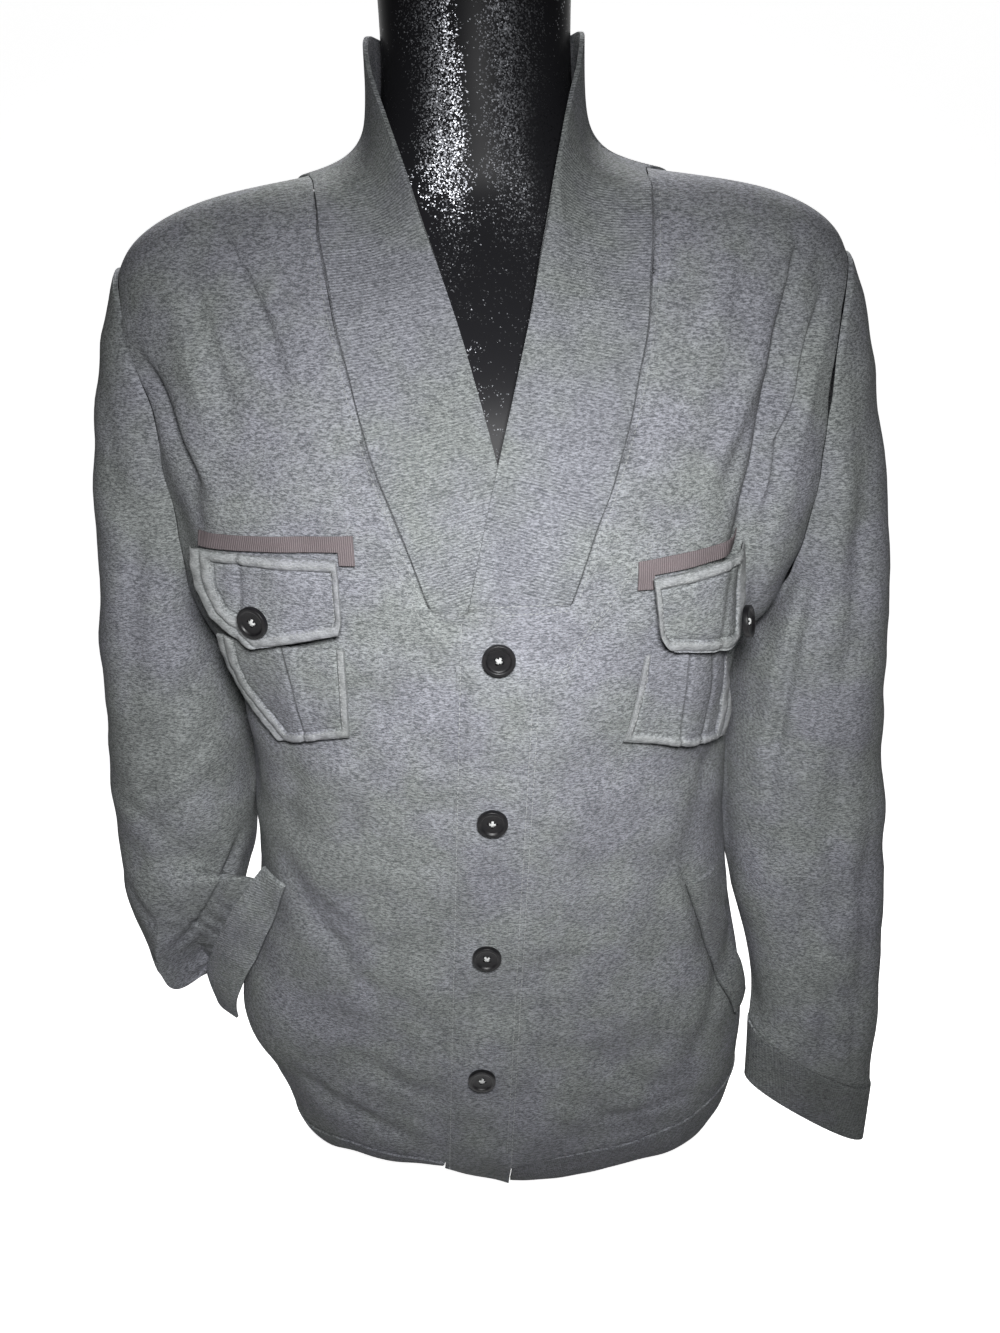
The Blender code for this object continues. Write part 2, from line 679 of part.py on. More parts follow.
def tape(name, side):
    """Grosgrain tape over the flap, with a short leg turned down at its inner end."""
    inner_x, inner_z, outer_x, outer_z, width, leg_z = TAPES[side]
    out = LAY + TAPE
    leg_x = inner_x + width
    xs = [inner_x, leg_x] + run(leg_x, outer_x, 11)[1:]
    rows = []
    for drop in (None, 1.0, 0.5, 0.0):
        row = []
        for i, x in enumerate(xs):
            top = mix(inner_z, outer_z, (x - inner_x) / (outer_x - inner_x))
            if drop is None:
                leg = on_front(angle_of(side * x, leg_z), leg_z, out)
                row.append(leg if i < 2 else None)
            else:
                z = top - width * drop
                row.append(on_front(angle_of(side * x, z), z, out))
        rows.append(row)
    return sheet(name, facing_out(rows, side), TAPE_FINISH, TAPE)


def mouth_point(side, share, across, out):
    """Place on a pocket mouth: share from foot to top, across from 0, the free
    edge, to 1, the seam of the welt."""
    top, top_z, foot, foot_z = WELTS[side]
    angle = mix(foot, top, share) - across * WELT_WIDTH
    z = mix(foot_z, top_z, share) - across * WELT_SLANT
    return on_front(side * angle, z, out)


def welt(name, side, gape):
    """Ribbed strip of a side pocket, sewn along its inner edge."""
    rows = []
    for share in run(0.0, 1.0, 8):
        held = gape * (math.sin(math.pi * share) ** 0.5 + FOOT_GAPE * (1.0 - share) ** 4)
        rows.append([mouth_point(side, share, across, LAY + RIB + held * (1.0 - across))
                     for across in run(1.0, 0.0, 5)])
    return sheet(name, facing_out(rows, side), RIB_FINISH, RIB)


def mouth_ring(row, turns):
    """Flattened ring of the right sleeve where it lies in the pocket mouth."""
    across, thick, middle, half = row
    points = []
    for turn in turns:
        s, c = math.sin(math.radians(turn)), math.cos(math.radians(turn))
        flat = math.copysign(abs(s) ** (2 / SLEEVE_POWER), s)
        points.append(mouth_point(-1, 0.5 + half * flat, across, middle + thick * c))
    return points


# ---- buttons ------------------------------------------------------------
def button(name, side, x, z, out):
    """Turned button with a dished face and a raised rim, flat on the cloth."""
    half, seat = BUTTON_T / 2, BUTTON_SEAT
    mesh = bmesh.new()
    verts = [mesh.verts.new((r, 0.0, h)) for r, h in BUTTON_PROFILE]
    for a, b in zip(verts, verts[1:]):
        mesh.edges.new((a, b))
    item = add_object(name, mesh, BUTTON_FINISH)
    turned = item.modifiers.new("turned", "SCREW")
    turned.steps = turned.render_steps = 16
    turned.use_merge_vertices = True
    turned.merge_threshold = 0.00005
    left, right, low, high = (
        on_front(angle_of(x + dx, z + dz), z + dz, out + half, side)
        for dx, dz in ((-seat, 0.0), (seat, 0.0), (0.0, -seat), (0.0, seat)))
    item.location = (left + right + low + high) / 4
    item.rotation_mode = "QUATERNION"
    item.rotation_quaternion = (right - left).cross(high - low).to_track_quat("Z", "Y")
    return item


def buttons():
    for i, z in enumerate(BUTTON_Z):
        button(f"button_{i + 1}", 1, button_line(z), z, LAY)
    for name, side in (("left", 1), ("right", -1)):
        x, z, air = FLAP_BUTTONS[side]
        button(f"flap_button_{name}", side, side * x, z, FLAP_OUT + air)


# ---- dress form ---------------------------------------------------------
def dress_form():
    """Smooth closed torso with a plain capped neck and a flat base."""
    points = 28
    mesh = bmesh.new()
    loops = []
    for z, side, front, back in FORM:
        loop = []
        for i in range(points):
            turn = 2 * math.pi * i / points
            s, c = math.sin(turn), math.cos(turn)
            x = side * math.copysign(abs(s) ** (2 / FORM_POWER), s)
            y = -(front if c > 0 else back) * math.copysign(abs(c) ** (2 / FORM_POWER), c)
            loop.append(mesh.verts.new((x, y, z)))
        loops.append(loop)
    inset = [mesh.verts.new((v.co.x * 0.90, v.co.y * 0.88, FORM_TOP_Z)) for v in loops[-1]]
    loops.append(inset)
    for low, high in zip(loops, loops[1:]):
        for i in range(points):
            j = (i + 1) % points
            mesh.faces.new((low[i], low[j], high[j], high[i]))
    mesh.faces.new(loops[0][::-1])
    mesh.faces.new(loops[-1])
    item = add_object("dress_form", mesh, FORM_FINISH)
    item.data.set_sharp_from_angle(angle=math.radians(50))
    return item


def build():
    dress_form()
    front_panel("front_left", 1, True)
    front_panel("front_right", -1, False)
    back_panel()
    hem_bands()
    collar_half("collar_left", 1, True)
    collar_half("collar_right", -1, False)
    sleeve("sleeve_left", 1, LEFT_SLEEVE)
    tucked = [mouth_ring(row, TURNS) for row in TUCKED]
    sleeve("sleeve_right", -1, RIGHT_SLEEVE, tucked[:SLEEVE_ENDS])
    cuff("cuff_left", 1, [[ring(row, 1, turn) for turn in TURNS] for row in LEFT_CUFF], RIB)
    cuff("cuff_right", -1, tucked[SLEEVE_ENDS:], TUCKED_WALL)
    for name, side in (("left", 1), ("right", -1)):
        pocket(f"pocket_{name}", side)
        flap(f"flap_{name}", side)
        tape(f"tape_{name}", side)
    welt("welt_left", 1, 0.0)
    welt("welt_right", -1, WELT_GAPE)
    buttons()


clear_scene()
PARTS = collection("shawl_collar_cardigan")
JERSEY_FINISH = material("jersey", (0.17, 0.18, 0.18), 0.95)
RIB_FINISH = material("rib", (0.21, 0.23, 0.23), 0.95)
TAPE_FINISH = material("tape", (0.20, 0.17, 0.17), 0.85)
BUTTON_FINISH = material("button", (0.01, 0.01, 0.012), 0.30)
FORM_FINISH = material("gloss_black", (0.006, 0.006, 0.007), 0.18)
FRONT_FACES = {}
build()
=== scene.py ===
import math

import bpy
import numpy as np
from mathutils import Matrix, Vector
from mathutils.bvhtree import BVHTree


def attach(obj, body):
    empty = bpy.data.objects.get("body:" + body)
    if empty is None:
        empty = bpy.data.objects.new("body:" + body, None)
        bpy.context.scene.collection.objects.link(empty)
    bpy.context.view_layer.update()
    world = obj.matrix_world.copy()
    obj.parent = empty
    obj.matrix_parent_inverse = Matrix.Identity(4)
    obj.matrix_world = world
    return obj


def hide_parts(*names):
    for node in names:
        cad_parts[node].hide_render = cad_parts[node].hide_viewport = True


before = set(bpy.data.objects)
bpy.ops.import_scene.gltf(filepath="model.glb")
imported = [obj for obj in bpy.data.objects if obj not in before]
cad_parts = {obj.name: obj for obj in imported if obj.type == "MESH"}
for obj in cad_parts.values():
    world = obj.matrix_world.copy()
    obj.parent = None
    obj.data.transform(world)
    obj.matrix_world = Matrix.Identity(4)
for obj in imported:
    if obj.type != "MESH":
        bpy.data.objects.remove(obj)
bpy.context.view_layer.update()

# ---- Dress form ----------------------------------------------------------
# A limbless torso moulded in black plastic and sprayed with a clear gloss coat
# full of silver glitter. It stands on its own flat base and fills the garment.


class Value:
    """A shader socket that takes part in Python sums."""

    def __init__(self, finish, socket):
        self.finish, self.socket = finish, socket

    def maths(self, operation, *others):
        return self.finish.node("ShaderNodeMath", {"operation": operation}, (self, *others))

    def __add__(self, other):
        return self.maths("ADD", other)

    def __mul__(self, other):
        return self.maths("MULTIPLY", other)

    def __sub__(self, other):
        return self.maths("SUBTRACT", other)

    def __rsub__(self, other):
        return self.finish.node("ShaderNodeMath", {"operation": "SUBTRACT"}, (other, self))

    def __gt__(self, other):
        return self.maths("GREATER_THAN", other)

    __radd__ = __add__
    __rmul__ = __mul__


class Finish:
    """A material under construction; node() adds any node and returns an output."""

    def __init__(self, name):
        self.material = bpy.data.materials.new(name)
        self.material.use_nodes = True
        self.tree = self.material.node_tree
        self.shader = self.tree.nodes["Principled BSDF"]

    def join(self, value, socket):
        if isinstance(value, Value):
            self.tree.links.new(value.socket, socket)
        else:
            socket.default_value = value

    def node(self, kind, settings, inputs, output=0):
        made = self.tree.nodes.new(kind)
        for name, value in settings.items():
            if name == "stops":
                stops = made.color_ramp.elements
                for i, (place, colour) in enumerate(value):
                    stop = stops[i] if i < 2 else stops.new(place)
                    stop.position, stop.color = place, (*colour, 1.0)
            else:
                setattr(made, name, value)
        pairs = inputs.items() if isinstance(inputs, dict) else enumerate(inputs)
        for name, value in pairs:
            self.join(value, made.inputs[name])
        return Value(self, made.outputs[output])

    def place(self):
        return self.node("ShaderNodeTexCoord", {}, {}, "Object")

    def stretched(self, where, sizes, turn=0.0):
        return self.node("ShaderNodeMapping", {}, {
            "Vector": where, "Scale": sizes, "Rotation": (0.0, turn, 0.0)})

    def noise(self, where, scale, detail=2.0, roughness=0.5):
        return self.node("ShaderNodeTexNoise", {}, {
            "Vector": where, "Scale": scale, "Detail": detail, "Roughness": roughness}, "Fac")

    def blend(self, share, low, high, how="MIX"):
        return self.node("ShaderNodeMix", {"data_type": "RGBA", "blend_type": how},
                         {0: share, 6: low, 7: high}, 2)

    def shaded(self, colour, by):
        return self.blend(1.0, colour, by, "MULTIPLY")

    def ramp(self, value, stops):
        return self.node("ShaderNodeValToRGB", {"stops": stops}, [value])

    def bump(self, height, distance, strength):
        return self.node("ShaderNodeBump", {}, {
            "Height": height, "Distance": distance, "Strength": strength})

    def set(self, **sockets):
        for name, value in sockets.items():
            self.join(value, self.shader.inputs[name.replace("_", " ")])
        return self.material


def only(item):
    """item alone is selected and active."""
    bpy.ops.object.select_all(action="DESELECT")
    item.select_set(True)
    bpy.context.view_layer.objects.active = item


def apply_modifier(item, kind, **settings):
    only(item)
    modifier = item.modifiers.new(kind.lower(), kind)
    for name, value in settings.items():
        setattr(modifier, name, value)
    bpy.ops.object.modifier_apply(modifier=modifier.name)


WELD = 0.00004
FOLD_ANGLE = math.radians(55)


def smooth_copy(node, name, rounds, rim=0.0):
    """A CAD solid's copy, merged, turned into quads and subdivided. Its rims stay
    where they are and are rounded by rim."""
    item = bpy.data.objects.new(name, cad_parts[node].data.copy())
    bpy.context.scene.collection.objects.link(item)
    item.data.materials.clear()
    only(item)
    bpy.ops.mesh.customdata_custom_splitnormals_clear()
    bpy.ops.object.mode_set(mode="EDIT")
    bpy.ops.mesh.select_mode(type="EDGE")
    bpy.ops.mesh.select_all(action="SELECT")
    bpy.ops.mesh.remove_doubles(threshold=WELD)
    bpy.ops.mesh.tris_convert_to_quads(face_threshold=0.7, shape_threshold=1.2)
    bpy.ops.mesh.select_all(action="DESELECT")
    bpy.ops.mesh.edges_select_sharp(sharpness=FOLD_ANGLE)
    bpy.ops.transform.edge_crease(value=1.0)
    bpy.ops.object.mode_set(mode="OBJECT")
    apply_modifier(item, "SUBSURF", levels=rounds, render_levels=rounds)
    if rim:
        apply_modifier(item, "BEVEL", width=rim, segments=2, limit_method="ANGLE",
                       angle_limit=math.radians(50), harden_normals=False)
    item.data.shade_smooth()
    return item


def finished(item, finish, slot, *nodes):
    """The piece gets its material, rides on the body and stands for CAD nodes."""
    item.data.materials.clear()
    item.data.materials.append(finish)
    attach(item, "root")
    if nodes:
        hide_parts(*nodes)
    return item


FLAKE = 1500.0                 # flakes to the metre
FLAKE_TILT = 0.46
STREAK_TOP = 0.82               # the height at which the painted highlight streaks' middles are given
PAINTED_HIGHLIGHT_STREAKS = ((-0.026, 0.10), (0.019, 0.06))    # middle x and lean of the two upright painted highlight streaks
STREAK_FOOT = 0.66

gloss = Finish("black_gloss_with_glitter")
spot = gloss.place()
flake = gloss.node("ShaderNodeTexVoronoi", {"feature": "F1"}, {"Vector": spot, "Scale": FLAKE}, "Color")
chance = gloss.node("ShaderNodeSeparateColor", {}, [flake], 0)
across = gloss.node("ShaderNodeSeparateXYZ", {}, [spot], 0)
height = gloss.node("ShaderNodeSeparateXYZ", {}, [spot], 2)
# Flakes are packed densely into two upright streaks on the neck. This is a painted highlight that stands in
# for the lamps' reflections. Elsewhere the number of flakes varies at random, as real glitter does.
sway = gloss.noise(gloss.stretched(spot, (1.0, 1.0, 0.25)), 40.0) * 0.016 - 0.008
left_streak_off, right_streak_off = (
    (across - middle + sway + (height - STREAK_TOP) * lean).maths("ABSOLUTE") for middle, lean in PAINTED_HIGHLIGHT_STREAKS)
painted_highlight = 1.0 - left_streak_off.maths("MINIMUM", right_streak_off * 0.8) * 56.0
# The painted highlight streaks fade out below the neck.
foot = gloss.ramp((height - STREAK_FOOT) * 8.0, ((0.0, (0.10, 0.10, 0.10)), (0.6, (1.0, 1.0, 1.0))))
glitter_and_highlight_density = gloss.noise(spot, 90.0, 3.0) * 0.42 + painted_highlight.maths("MAXIMUM", 0.0) * 0.55 * foot
is_flake = chance > (1.19 - glitter_and_highlight_density)
tilt = gloss.node("ShaderNodeVectorMath", {"operation": "SUBTRACT"}, [flake, (0.5, 0.5, 0.5)])
reach = gloss.node("ShaderNodeVectorMath", {"operation": "SCALE"},
                   {0: tilt, "Scale": is_flake * FLAKE_TILT})
normal = gloss.node("ShaderNodeNewGeometry", {}, {}, "Normal")
leaning = gloss.node("ShaderNodeVectorMath", {"operation": "ADD"}, [normal, reach])
facing = gloss.node("ShaderNodeVectorMath", {"operation": "NORMALIZE"}, [leaning])
black_gloss = gloss.set(
    Base_Color=gloss.blend(is_flake, (0.014, 0.014, 0.016, 1.0), (0.20, 0.205, 0.22, 1.0)),
    Metallic=is_flake, Roughness=0.36, Specular_IOR_Level=0.05, Normal=facing)
form = smooth_copy("dress_form", "torso_form", 2)
finished(form, black_gloss, "form", "dress_form")

# ---- Back and front panels -----------------------------------------------
# The body is cut from grey melange sweat jersey, brushed inside: one back and two
# fronts, joined at the shoulders and sides and drawn in a little by their wear.
MM = 0.001
FRONT_CREASES = (
    # from x, z,   to x, z,   bow, half width, depth, all in millimetres
    (186, 690, 150, 512, 5, 4.0, 7.6),      # pulled in beside the left armhole
    (200, 664, 163, 520, 3, 4.0, 6.2),
    (172, 668, 132, 548, -4, 5.0, 4.2),
    (187, 612, 155, 545, 2, 3.5, 3.2),
    (152, 704, 112, 560, -6, 9.0, 1.8),
    (125, 706, 100, 575, -4, 8.0, 1.3),
    (161, 520, 163, 385, -3, 5.0, 3.0),
    (152, 400, 128, 296, 5, 8.0, 2.4),
    (122, 318, 165, 178, 3, 5.0, 3.2),
    (172, 250, 132, 110, -6, 8.0, 3.0),
    (95, 400, 140, 350, 4, 8.0, 1.3),
    (160, 340, 100, 400, 5, 6.0, 2.2),
    (-153, 704, -104, 612, -3, 4.2, 4.6),   # the soft fold off the right shoulder
    (-176, 690, -140, 585, -5, 6.0, 3.6),
    (-203, 640, -166, 530, -6, 5.0, 6.0),   # and the hollow by that armhole
    (-192, 600, -156, 545, -3, 4.5, 2.6),
    (-165, 470, -160, 330, 4, 6.0, 2.4),
    (-120, 400, -132, 300, 4, 8.0, 1.6),
    (-124, 292, -92, 262, 3, 3.2, 2.0),
    (-124, 262, -98, 244, 2, 3.0, 1.8),
    (-150, 330, -60, 180, 8, 10.0, 2.4),
    (-110, 160, -30, 110, 5, 8.0, 2.6),
    (-160, 130, -60, 70, 6, 7.0, 2.2),
    (-120, 110, -50, 66, 4, 5.0, 1.4),
    (44, 170, 130, 90, -6, 9.0, 2.8),
    (30, 120, 110, 66, -5, 7.0, 1.9),
    (60, 84, 150, 92, -4, 5.0, 1.5),
    (-48, 516, -16, 474, -2, 2.2, 1.1),     # ease of the facing under the collar
    (-34, 494, 0, 488, 2, 5.0, 0.9),
    (20, 494, 62, 500, -3, 5.0, 0.8),
    (50, 470, 96, 520, 3, 6.0, 1.2),
)
BACK_CREASES = (
    (186, 668, 120, 560, 6, 9.0, 2.4),
    (150, 690, 90, 600, 5, 11.0, 1.3),
    (-186, 668, -130, 540, -6, 9.0, 2.6),
    (-140, 695, -70, 620, -6, 10.0, 1.1),
    (176, 470, 120, 390, 6, 8.0, 2.2),
    (-172, 480, -100, 370, -8, 8.0, 2.0),
    (130, 370, -60, 330, 7, 10.0, 1.8),
    (-140, 330, 40, 292, -6, 9.0, 1.5),
    (150, 300, 60, 240, 6, 10.0, 1.4),
    (-160, 240, -60, 150, -6, 12.0, 1.3),
    (120, 170, 40, 90, 5, 11.0, 1.2),
)
UNEVEN = (
    # wavelength mm, turn in degrees, shift, height mm
    (118, 20, 0.3, 0.80),
    (83, 100, 2.1, 0.72),
    (57, 145, 4.4, 0.56),
    (41, 62, 1.2, 0.40),
    (27, 10, 5.0, 0.14),
    (17, 75, 2.7, 0.06),
)


RIDGE_NEAR, RIDGE_FAR = 0.42, 0.28      # heights of the ridges beside a trough of 1


def crease_height(x, z, rows):
    """Height over the resting form in metres; every crease is a soft trough with a
    lower ridge along each side, deepest near its middle."""
    total = np.zeros_like(x)
    for x0, z0, x1, z1, bow, half, depth in rows:
        dx, dz = (x1 - x0) * MM, (z1 - z0) * MM
        length = math.hypot(dx, dz)
        ahead = ((x - x0 * MM) * dx + (z - z0 * MM) * dz) / length
        share = np.clip(ahead / length, 0.0, 1.0)
        off = ((x - x0 * MM) * dz - (z - z0 * MM) * dx) / length
        off = (off - bow * MM * 4 * share * (1 - share)) / (half * MM * (0.8 + 0.4 * share))
        fade = np.sin(np.pi * share) ** 0.8
        trough = -np.exp(-off ** 2)
        ridges = RIDGE_NEAR * np.exp(-((off - 2.1) / 1.3) ** 2)
        ridges += RIDGE_FAR * np.exp(-((off + 2.2) / 1.4) ** 2)
        total += depth * MM * fade * (trough + ridges)
    return total


def uneven_height(x, z, shift=0.0):
    total = np.zeros_like(x)
    for wave, turn, start, height in UNEVEN:
        a = math.radians(turn)
        run = (x * math.cos(a) + z * math.sin(a)) / (wave * MM)
        swell = np.sin(2 * np.pi * (x * math.sin(a) - z * math.cos(a)) / (2.7 * wave * MM) + start)
        total += height * MM * np.sin(2 * np.pi * run + start + shift + 1.4 * swell)
    return total


def points_of(item):
    co = np.empty(len(item.data.vertices) * 3)
    item.data.vertices.foreach_get("co", co)
    return co.reshape(-1, 3)


def move_points(item, co):
    item.data.vertices.foreach_set("co", co.ravel())
    item.data.update()


def ease(value):
    t = np.clip(value, 0.0, 1.0)
    return t * t * (3 - 2 * t)


COLLAR_FOOT_Z, CALM_RANGE = 0.70, 0.03
SIDE_BLEND = 0.045


def body_height(co):
    """How far the body's cloth stands off its plain form at these points. It is calm
    near the neck, and nothing at the side seams."""
    x, y, z = co.T
    front = crease_height(x, z, FRONT_CREASES) + uneven_height(x, z)
    back = crease_height(x, z, BACK_CREASES) + uneven_height(x, z, 2.0)
    calm = 1.0 - 0.8 * ease((z - COLLAR_FOOT_Z) / CALM_RANGE)
    return np.where(y < 0, front, back) * ease(np.abs(y) / SIDE_BLEND) * calm


def body_outward(co):
    way = co * np.array([0.40, 1.0, 0.0])
    return way / np.maximum(np.linalg.norm(way, axis=1, keepdims=True), 1e-9)


def drape_body(item, extra=0.0):
    """Lays a piece of the body in the body's creases, with its own relief on top."""
    co = points_of(item)
    move_points(item, co + body_outward(co) * (body_height(co) + extra)[:, None])


SLANT = 0.42                    # radians that the flecks lean out of level
WORN = (0.40, 0.41, 0.415, 1.0)


def jersey_finish(name, dark, light, grain=1.0):
    """Melange knit: pale and dark fibres spun together, in short slanted flecks, a
    little greener and bluer in turn. Returns the finish, its colour and its nap."""
    made = Finish(name)
    where = made.place()
    flecks = made.noise(made.stretched(where, (0.8, 1.0, 2.6), SLANT), 430.0 * grain, 3.0, 0.66)
    fibres = made.noise(made.stretched(where, (0.8, 0.8, 2.0), SLANT), 1150.0 * grain, 2.0, 0.7)
    clouds = made.noise(made.stretched(where, (1.0, 1.0, 0.7)), 62.0, 4.0, 0.62)
    hues = made.noise(where, 14.0, 3.0, 0.6)
    middle = tuple((a + b) / 2 for a, b in zip(dark, light))
    colour = made.ramp(flecks * 0.60 + fibres * 0.40, ((0.42, dark), (0.59, light), (0.505, middle)))
    colour = made.shaded(colour, made.ramp(clouds, ((0.32, (0.88,) * 3), (0.68, (1.03,) * 3))))
    colour = made.shaded(colour, made.ramp(hues, (
        (0.40, (0.950, 0.985, 0.955)), (0.60, (0.975, 0.975, 1.06)))))
    rubbed = made.node("ShaderNodeAttribute", {"attribute_name": "rubbed"}, {}, "Fac")
    return made, made.blend(rubbed * 0.45, colour, WORN), fibres * 0.5 + flecks * 0.5


NAP = 0.0006
MATTE = {"Roughness": 0.95, "Specular_IOR_Level": 0.15, "Sheen_Weight": 0.04, "Sheen_Roughness": 0.6}

sweat, melange, nap = jersey_finish("grey_melange_jersey", (0.105, 0.109, 0.113), (0.350, 0.358, 0.366))
jersey = sweat.set(Base_Color=melange, Normal=sweat.bump(nap, NAP, 0.8), **MATTE)
CLOTH_RIM = 0.0006

panels = {}
for node, name in (("back", "back_panel"), ("front_left", "left_front"), ("front_right", "right_front")):
    panels[node] = smooth_copy(node, name, 3, CLOTH_RIM)
    drape_body(panels[node])
    finished(panels[node], jersey, "jersey", node)

# The upper placket's edge is pressed thin, so it lies almost flush on the under one.
PLACKET_TOP, PLACKET_LEAN = 0.499, 0.056
EDGE_FROM_LINE, PRESSED_WIDTH = 0.024, 0.010
FLUSH = 0.0004
under = BVHTree.FromObject(panels["front_right"], bpy.context.evaluated_depsgraph_get())
co = points_of(panels["front_left"])
line = np.where(co[:, 2] < 0.5, 0.007 - PLACKET_LEAN * (0.5 - co[:, 2]), 0.007)
pressed = ease(1.0 - (co[:, 0] - line + EDGE_FROM_LINE) / PRESSED_WIDTH)
pressed = pressed * (co[:, 2] < PLACKET_TOP) * (co[:, 1] < 0)
for i in np.nonzero(pressed > 0.001)[0]:
    hit = under.ray_cast(Vector((co[i, 0], co[i, 1] - 0.01, co[i, 2])), Vector((0, 1, 0)), 0.03)[0]
    if hit is not None and hit.y > co[i, 1]:
        off = hit.y - co[i, 1]
        co[i, 1] += pressed[i] * (off - FLUSH - max(0.0, off - 0.0009) * 0.35)
move_points(panels["front_left"], co)

# ---- Sleeves -------------------------------------------------------------
# Two tubes of the same jersey, set into the armholes. Both are empty:
# the left hangs free and the right is bent, its end pushed into the side pocket.
LEFT_SLEEVE_AXIS = (
    # z, x, y of the tube's middle
    (0.070, 0.240, -0.032), (0.130, 0.2425, -0.027), (0.175, 0.2391, -0.018),
    (0.225, 0.2326, -0.008), (0.275, 0.2269, 0.0), (0.325, 0.2222, 0.006),
    (0.372, 0.2203, 0.006), (0.456, 0.220, 0.0), (0.690, 0.205, 0.0),
)
RIGHT_SLEEVE_AXIS = (
    (0.170, -0.205, -0.030), (0.237, -0.230, -0.020), (0.256, -0.230, -0.006),
    (0.287, -0.2275, 0.002), (0.325, -0.2237, 0.006), (0.372, -0.2215, 0.006),
    (0.456, -0.220, 0.0), (0.690, -0.205, 0.0),
)
LEFT_SLEEVE_CREASES = (
    (205, 500, 190, 318, 3, 3.5, 4.2),
    (246, 640, 236, 420, 5, 8.0, 1.8),
    (222, 620, 232, 380, -5, 8.0, 2.6),
    (212, 560, 214, 420, 3, 5.0, 2.0),
    (232, 400, 246, 190, 5, 9.0, 2.4),
    (205, 330, 228, 150, -5, 7.0, 2.4),
    (262, 330, 274, 130, 3, 7.0, 2.2),
    (214, 262, 250, 240, 4, 5.0, 1.5),
    (226, 208, 262, 196, -3, 5.0, 1.6),
    (222, 176, 216, 120, 1, 4.0, 1.8),
    (240, 164, 243, 100, 1, 4.0, 1.9),
    (262, 156, 266, 90, -1, 4.0, 1.8),
    (236, 140, 272, 116, 3, 4.0, 1.4),
)
RIGHT_SLEEVE_CREASES = (
    (-236, 640, -222, 470, -5, 8.0, 2.0),
    (-205, 560, -236, 380, 6, 8.0, 2.6),
    (-186, 440, -240, 330, 6, 7.0, 2.8),
    (-180, 392, -250, 312, 5, 6.0, 2.6),
    (-196, 350, -256, 286, 4, 5.0, 2.2),
    (-262, 340, -214, 290, -4, 7.0, 2.0),
    (-182, 300, -240, 208, -8, 3.0, 6.5),   # the deep fold inside the bent elbow
    (-262, 270, -232, 226, 3, 5.0, 2.2),
    (-226, 250, -196, 208, 2, 2.4, 2.4),
    (-214, 256, -190, 220, 2, 2.4, 2.0),
    (-200, 262, -182, 234, 1, 2.4, 1.6),
    (-258, 210, -202, 200, 4, 3.0, 3.2),
)


def drape_sleeve(item, axis, creases, side):
    """Creases on the front half are seen from the front, and others like them run
    down the back half."""
    co = points_of(item)
    x, y, z = co.T
    zs, xs, ys = np.array(axis).T
    mid = np.stack([np.interp(z, zs, xs), np.interp(z, zs, ys), z], axis=1)
    way = (co - mid) * np.array([1.0, 1.0, 0.0])
    way /= np.maximum(np.linalg.norm(way, axis=1, keepdims=True), 1e-9)
    ahead = mid[:, 1] - y
    front = crease_height(x, z, creases) + uneven_height(x, z, 1.0)
    back = crease_height(x - side * 0.006, z + 0.018, creases) * 0.8 + uneven_height(x, z, 3.0)
    front_share = ease(ahead / 0.03 + 0.5)
    height = front * front_share + back * (1 - front_share)
    height *= 1.0 - 0.7 * ease((z - 0.655) / 0.02)
    move_points(item, co + way * height[:, None])


def surface_of(*items):
    """One search tree over the faces of several finished pieces."""
    points, faces = [], []
    for item in items:
        start = len(points)
        points += [vert.co.copy() for vert in item.data.vertices]
        faces += [tuple(start + i for i in face.vertices) for face in item.data.polygons]
    return BVHTree.FromPolygons(points, faces)


def snug(item, neighbours, most, reach=0.008, gap=0.0004):
    """Draws the edge of a piece up to what it is sewn to, by most at the most."""
    faces = surface_of(*neighbours)
    co = points_of(item)
    for i, point in enumerate(co):
        near, facing, face, away = faces.find_nearest(Vector(point), reach)
        if near is None or away < gap:
            continue
        pull = min(away - gap, most) * float(ease(1.0 - (away - most) / (reach - most)))
        co[i] += np.array((near - Vector(point)) / away) * pull
    move_points(item, co)


sleeve_left = smooth_copy("sleeve_left", "left_sleeve", 3, CLOTH_RIM)
drape_sleeve(sleeve_left, LEFT_SLEEVE_AXIS, LEFT_SLEEVE_CREASES, 1)
sleeve_right = smooth_copy("sleeve_right", "right_sleeve", 3, CLOTH_RIM)
drape_sleeve(sleeve_right, RIGHT_SLEEVE_AXIS, RIGHT_SLEEVE_CREASES, -1)
for item, node in ((sleeve_left, "sleeve_left"), (sleeve_right, "sleeve_right")):
    snug(item, panels.values(), 0.0021, 0.0042)
    finished(item, jersey, "jersey", node)

# ---- Collar, cuffs, hem band and welts -----------------------------------
# Rib knit in a paler melange than the body, doubled over. The collar's two halves
# meet behind the neck, stand up round it and lap left over right on the chest.
COLLAR_LINE = (
    # x, y, z along the middle of a half, from behind the neck down to its foot
    (0.000, 0.058, 0.755), (0.045, 0.047, 0.758), (0.070, 0.020, 0.762),
    (0.074, -0.008, 0.758), (0.072, -0.040, 0.728), (0.066, -0.066, 0.690),
    (0.058, -0.090, 0.645), (0.047, -0.114, 0.595), (0.033, -0.132, 0.548),
    (0.018, -0.140, 0.500),
)


def run_along(item, line):
    """How far along a line of points each point of the piece lies, in metres."""
    co = points_of(item)
    line = np.array(line, float)
    steps = line[1:] - line[:-1]
    lengths = np.linalg.norm(steps, axis=1)
    starts = np.concatenate([[0.0], np.cumsum(lengths)[:-1]])
    nearest, run = np.full(len(co), 1e9), np.zeros(len(co))
    for start, step, length, at in zip(line[:-1], steps, lengths, starts):
        share = ((co - start) @ step / length ** 2)
        held = np.clip(share, 0.0, 1.0)
        gap = np.linalg.norm(co - (start + held[:, None] * step), axis=1)
        better = gap < nearest - 1e-9
        run = np.where(better, at + held * length, run)
        nearest = np.where(better, gap, nearest)
    return run


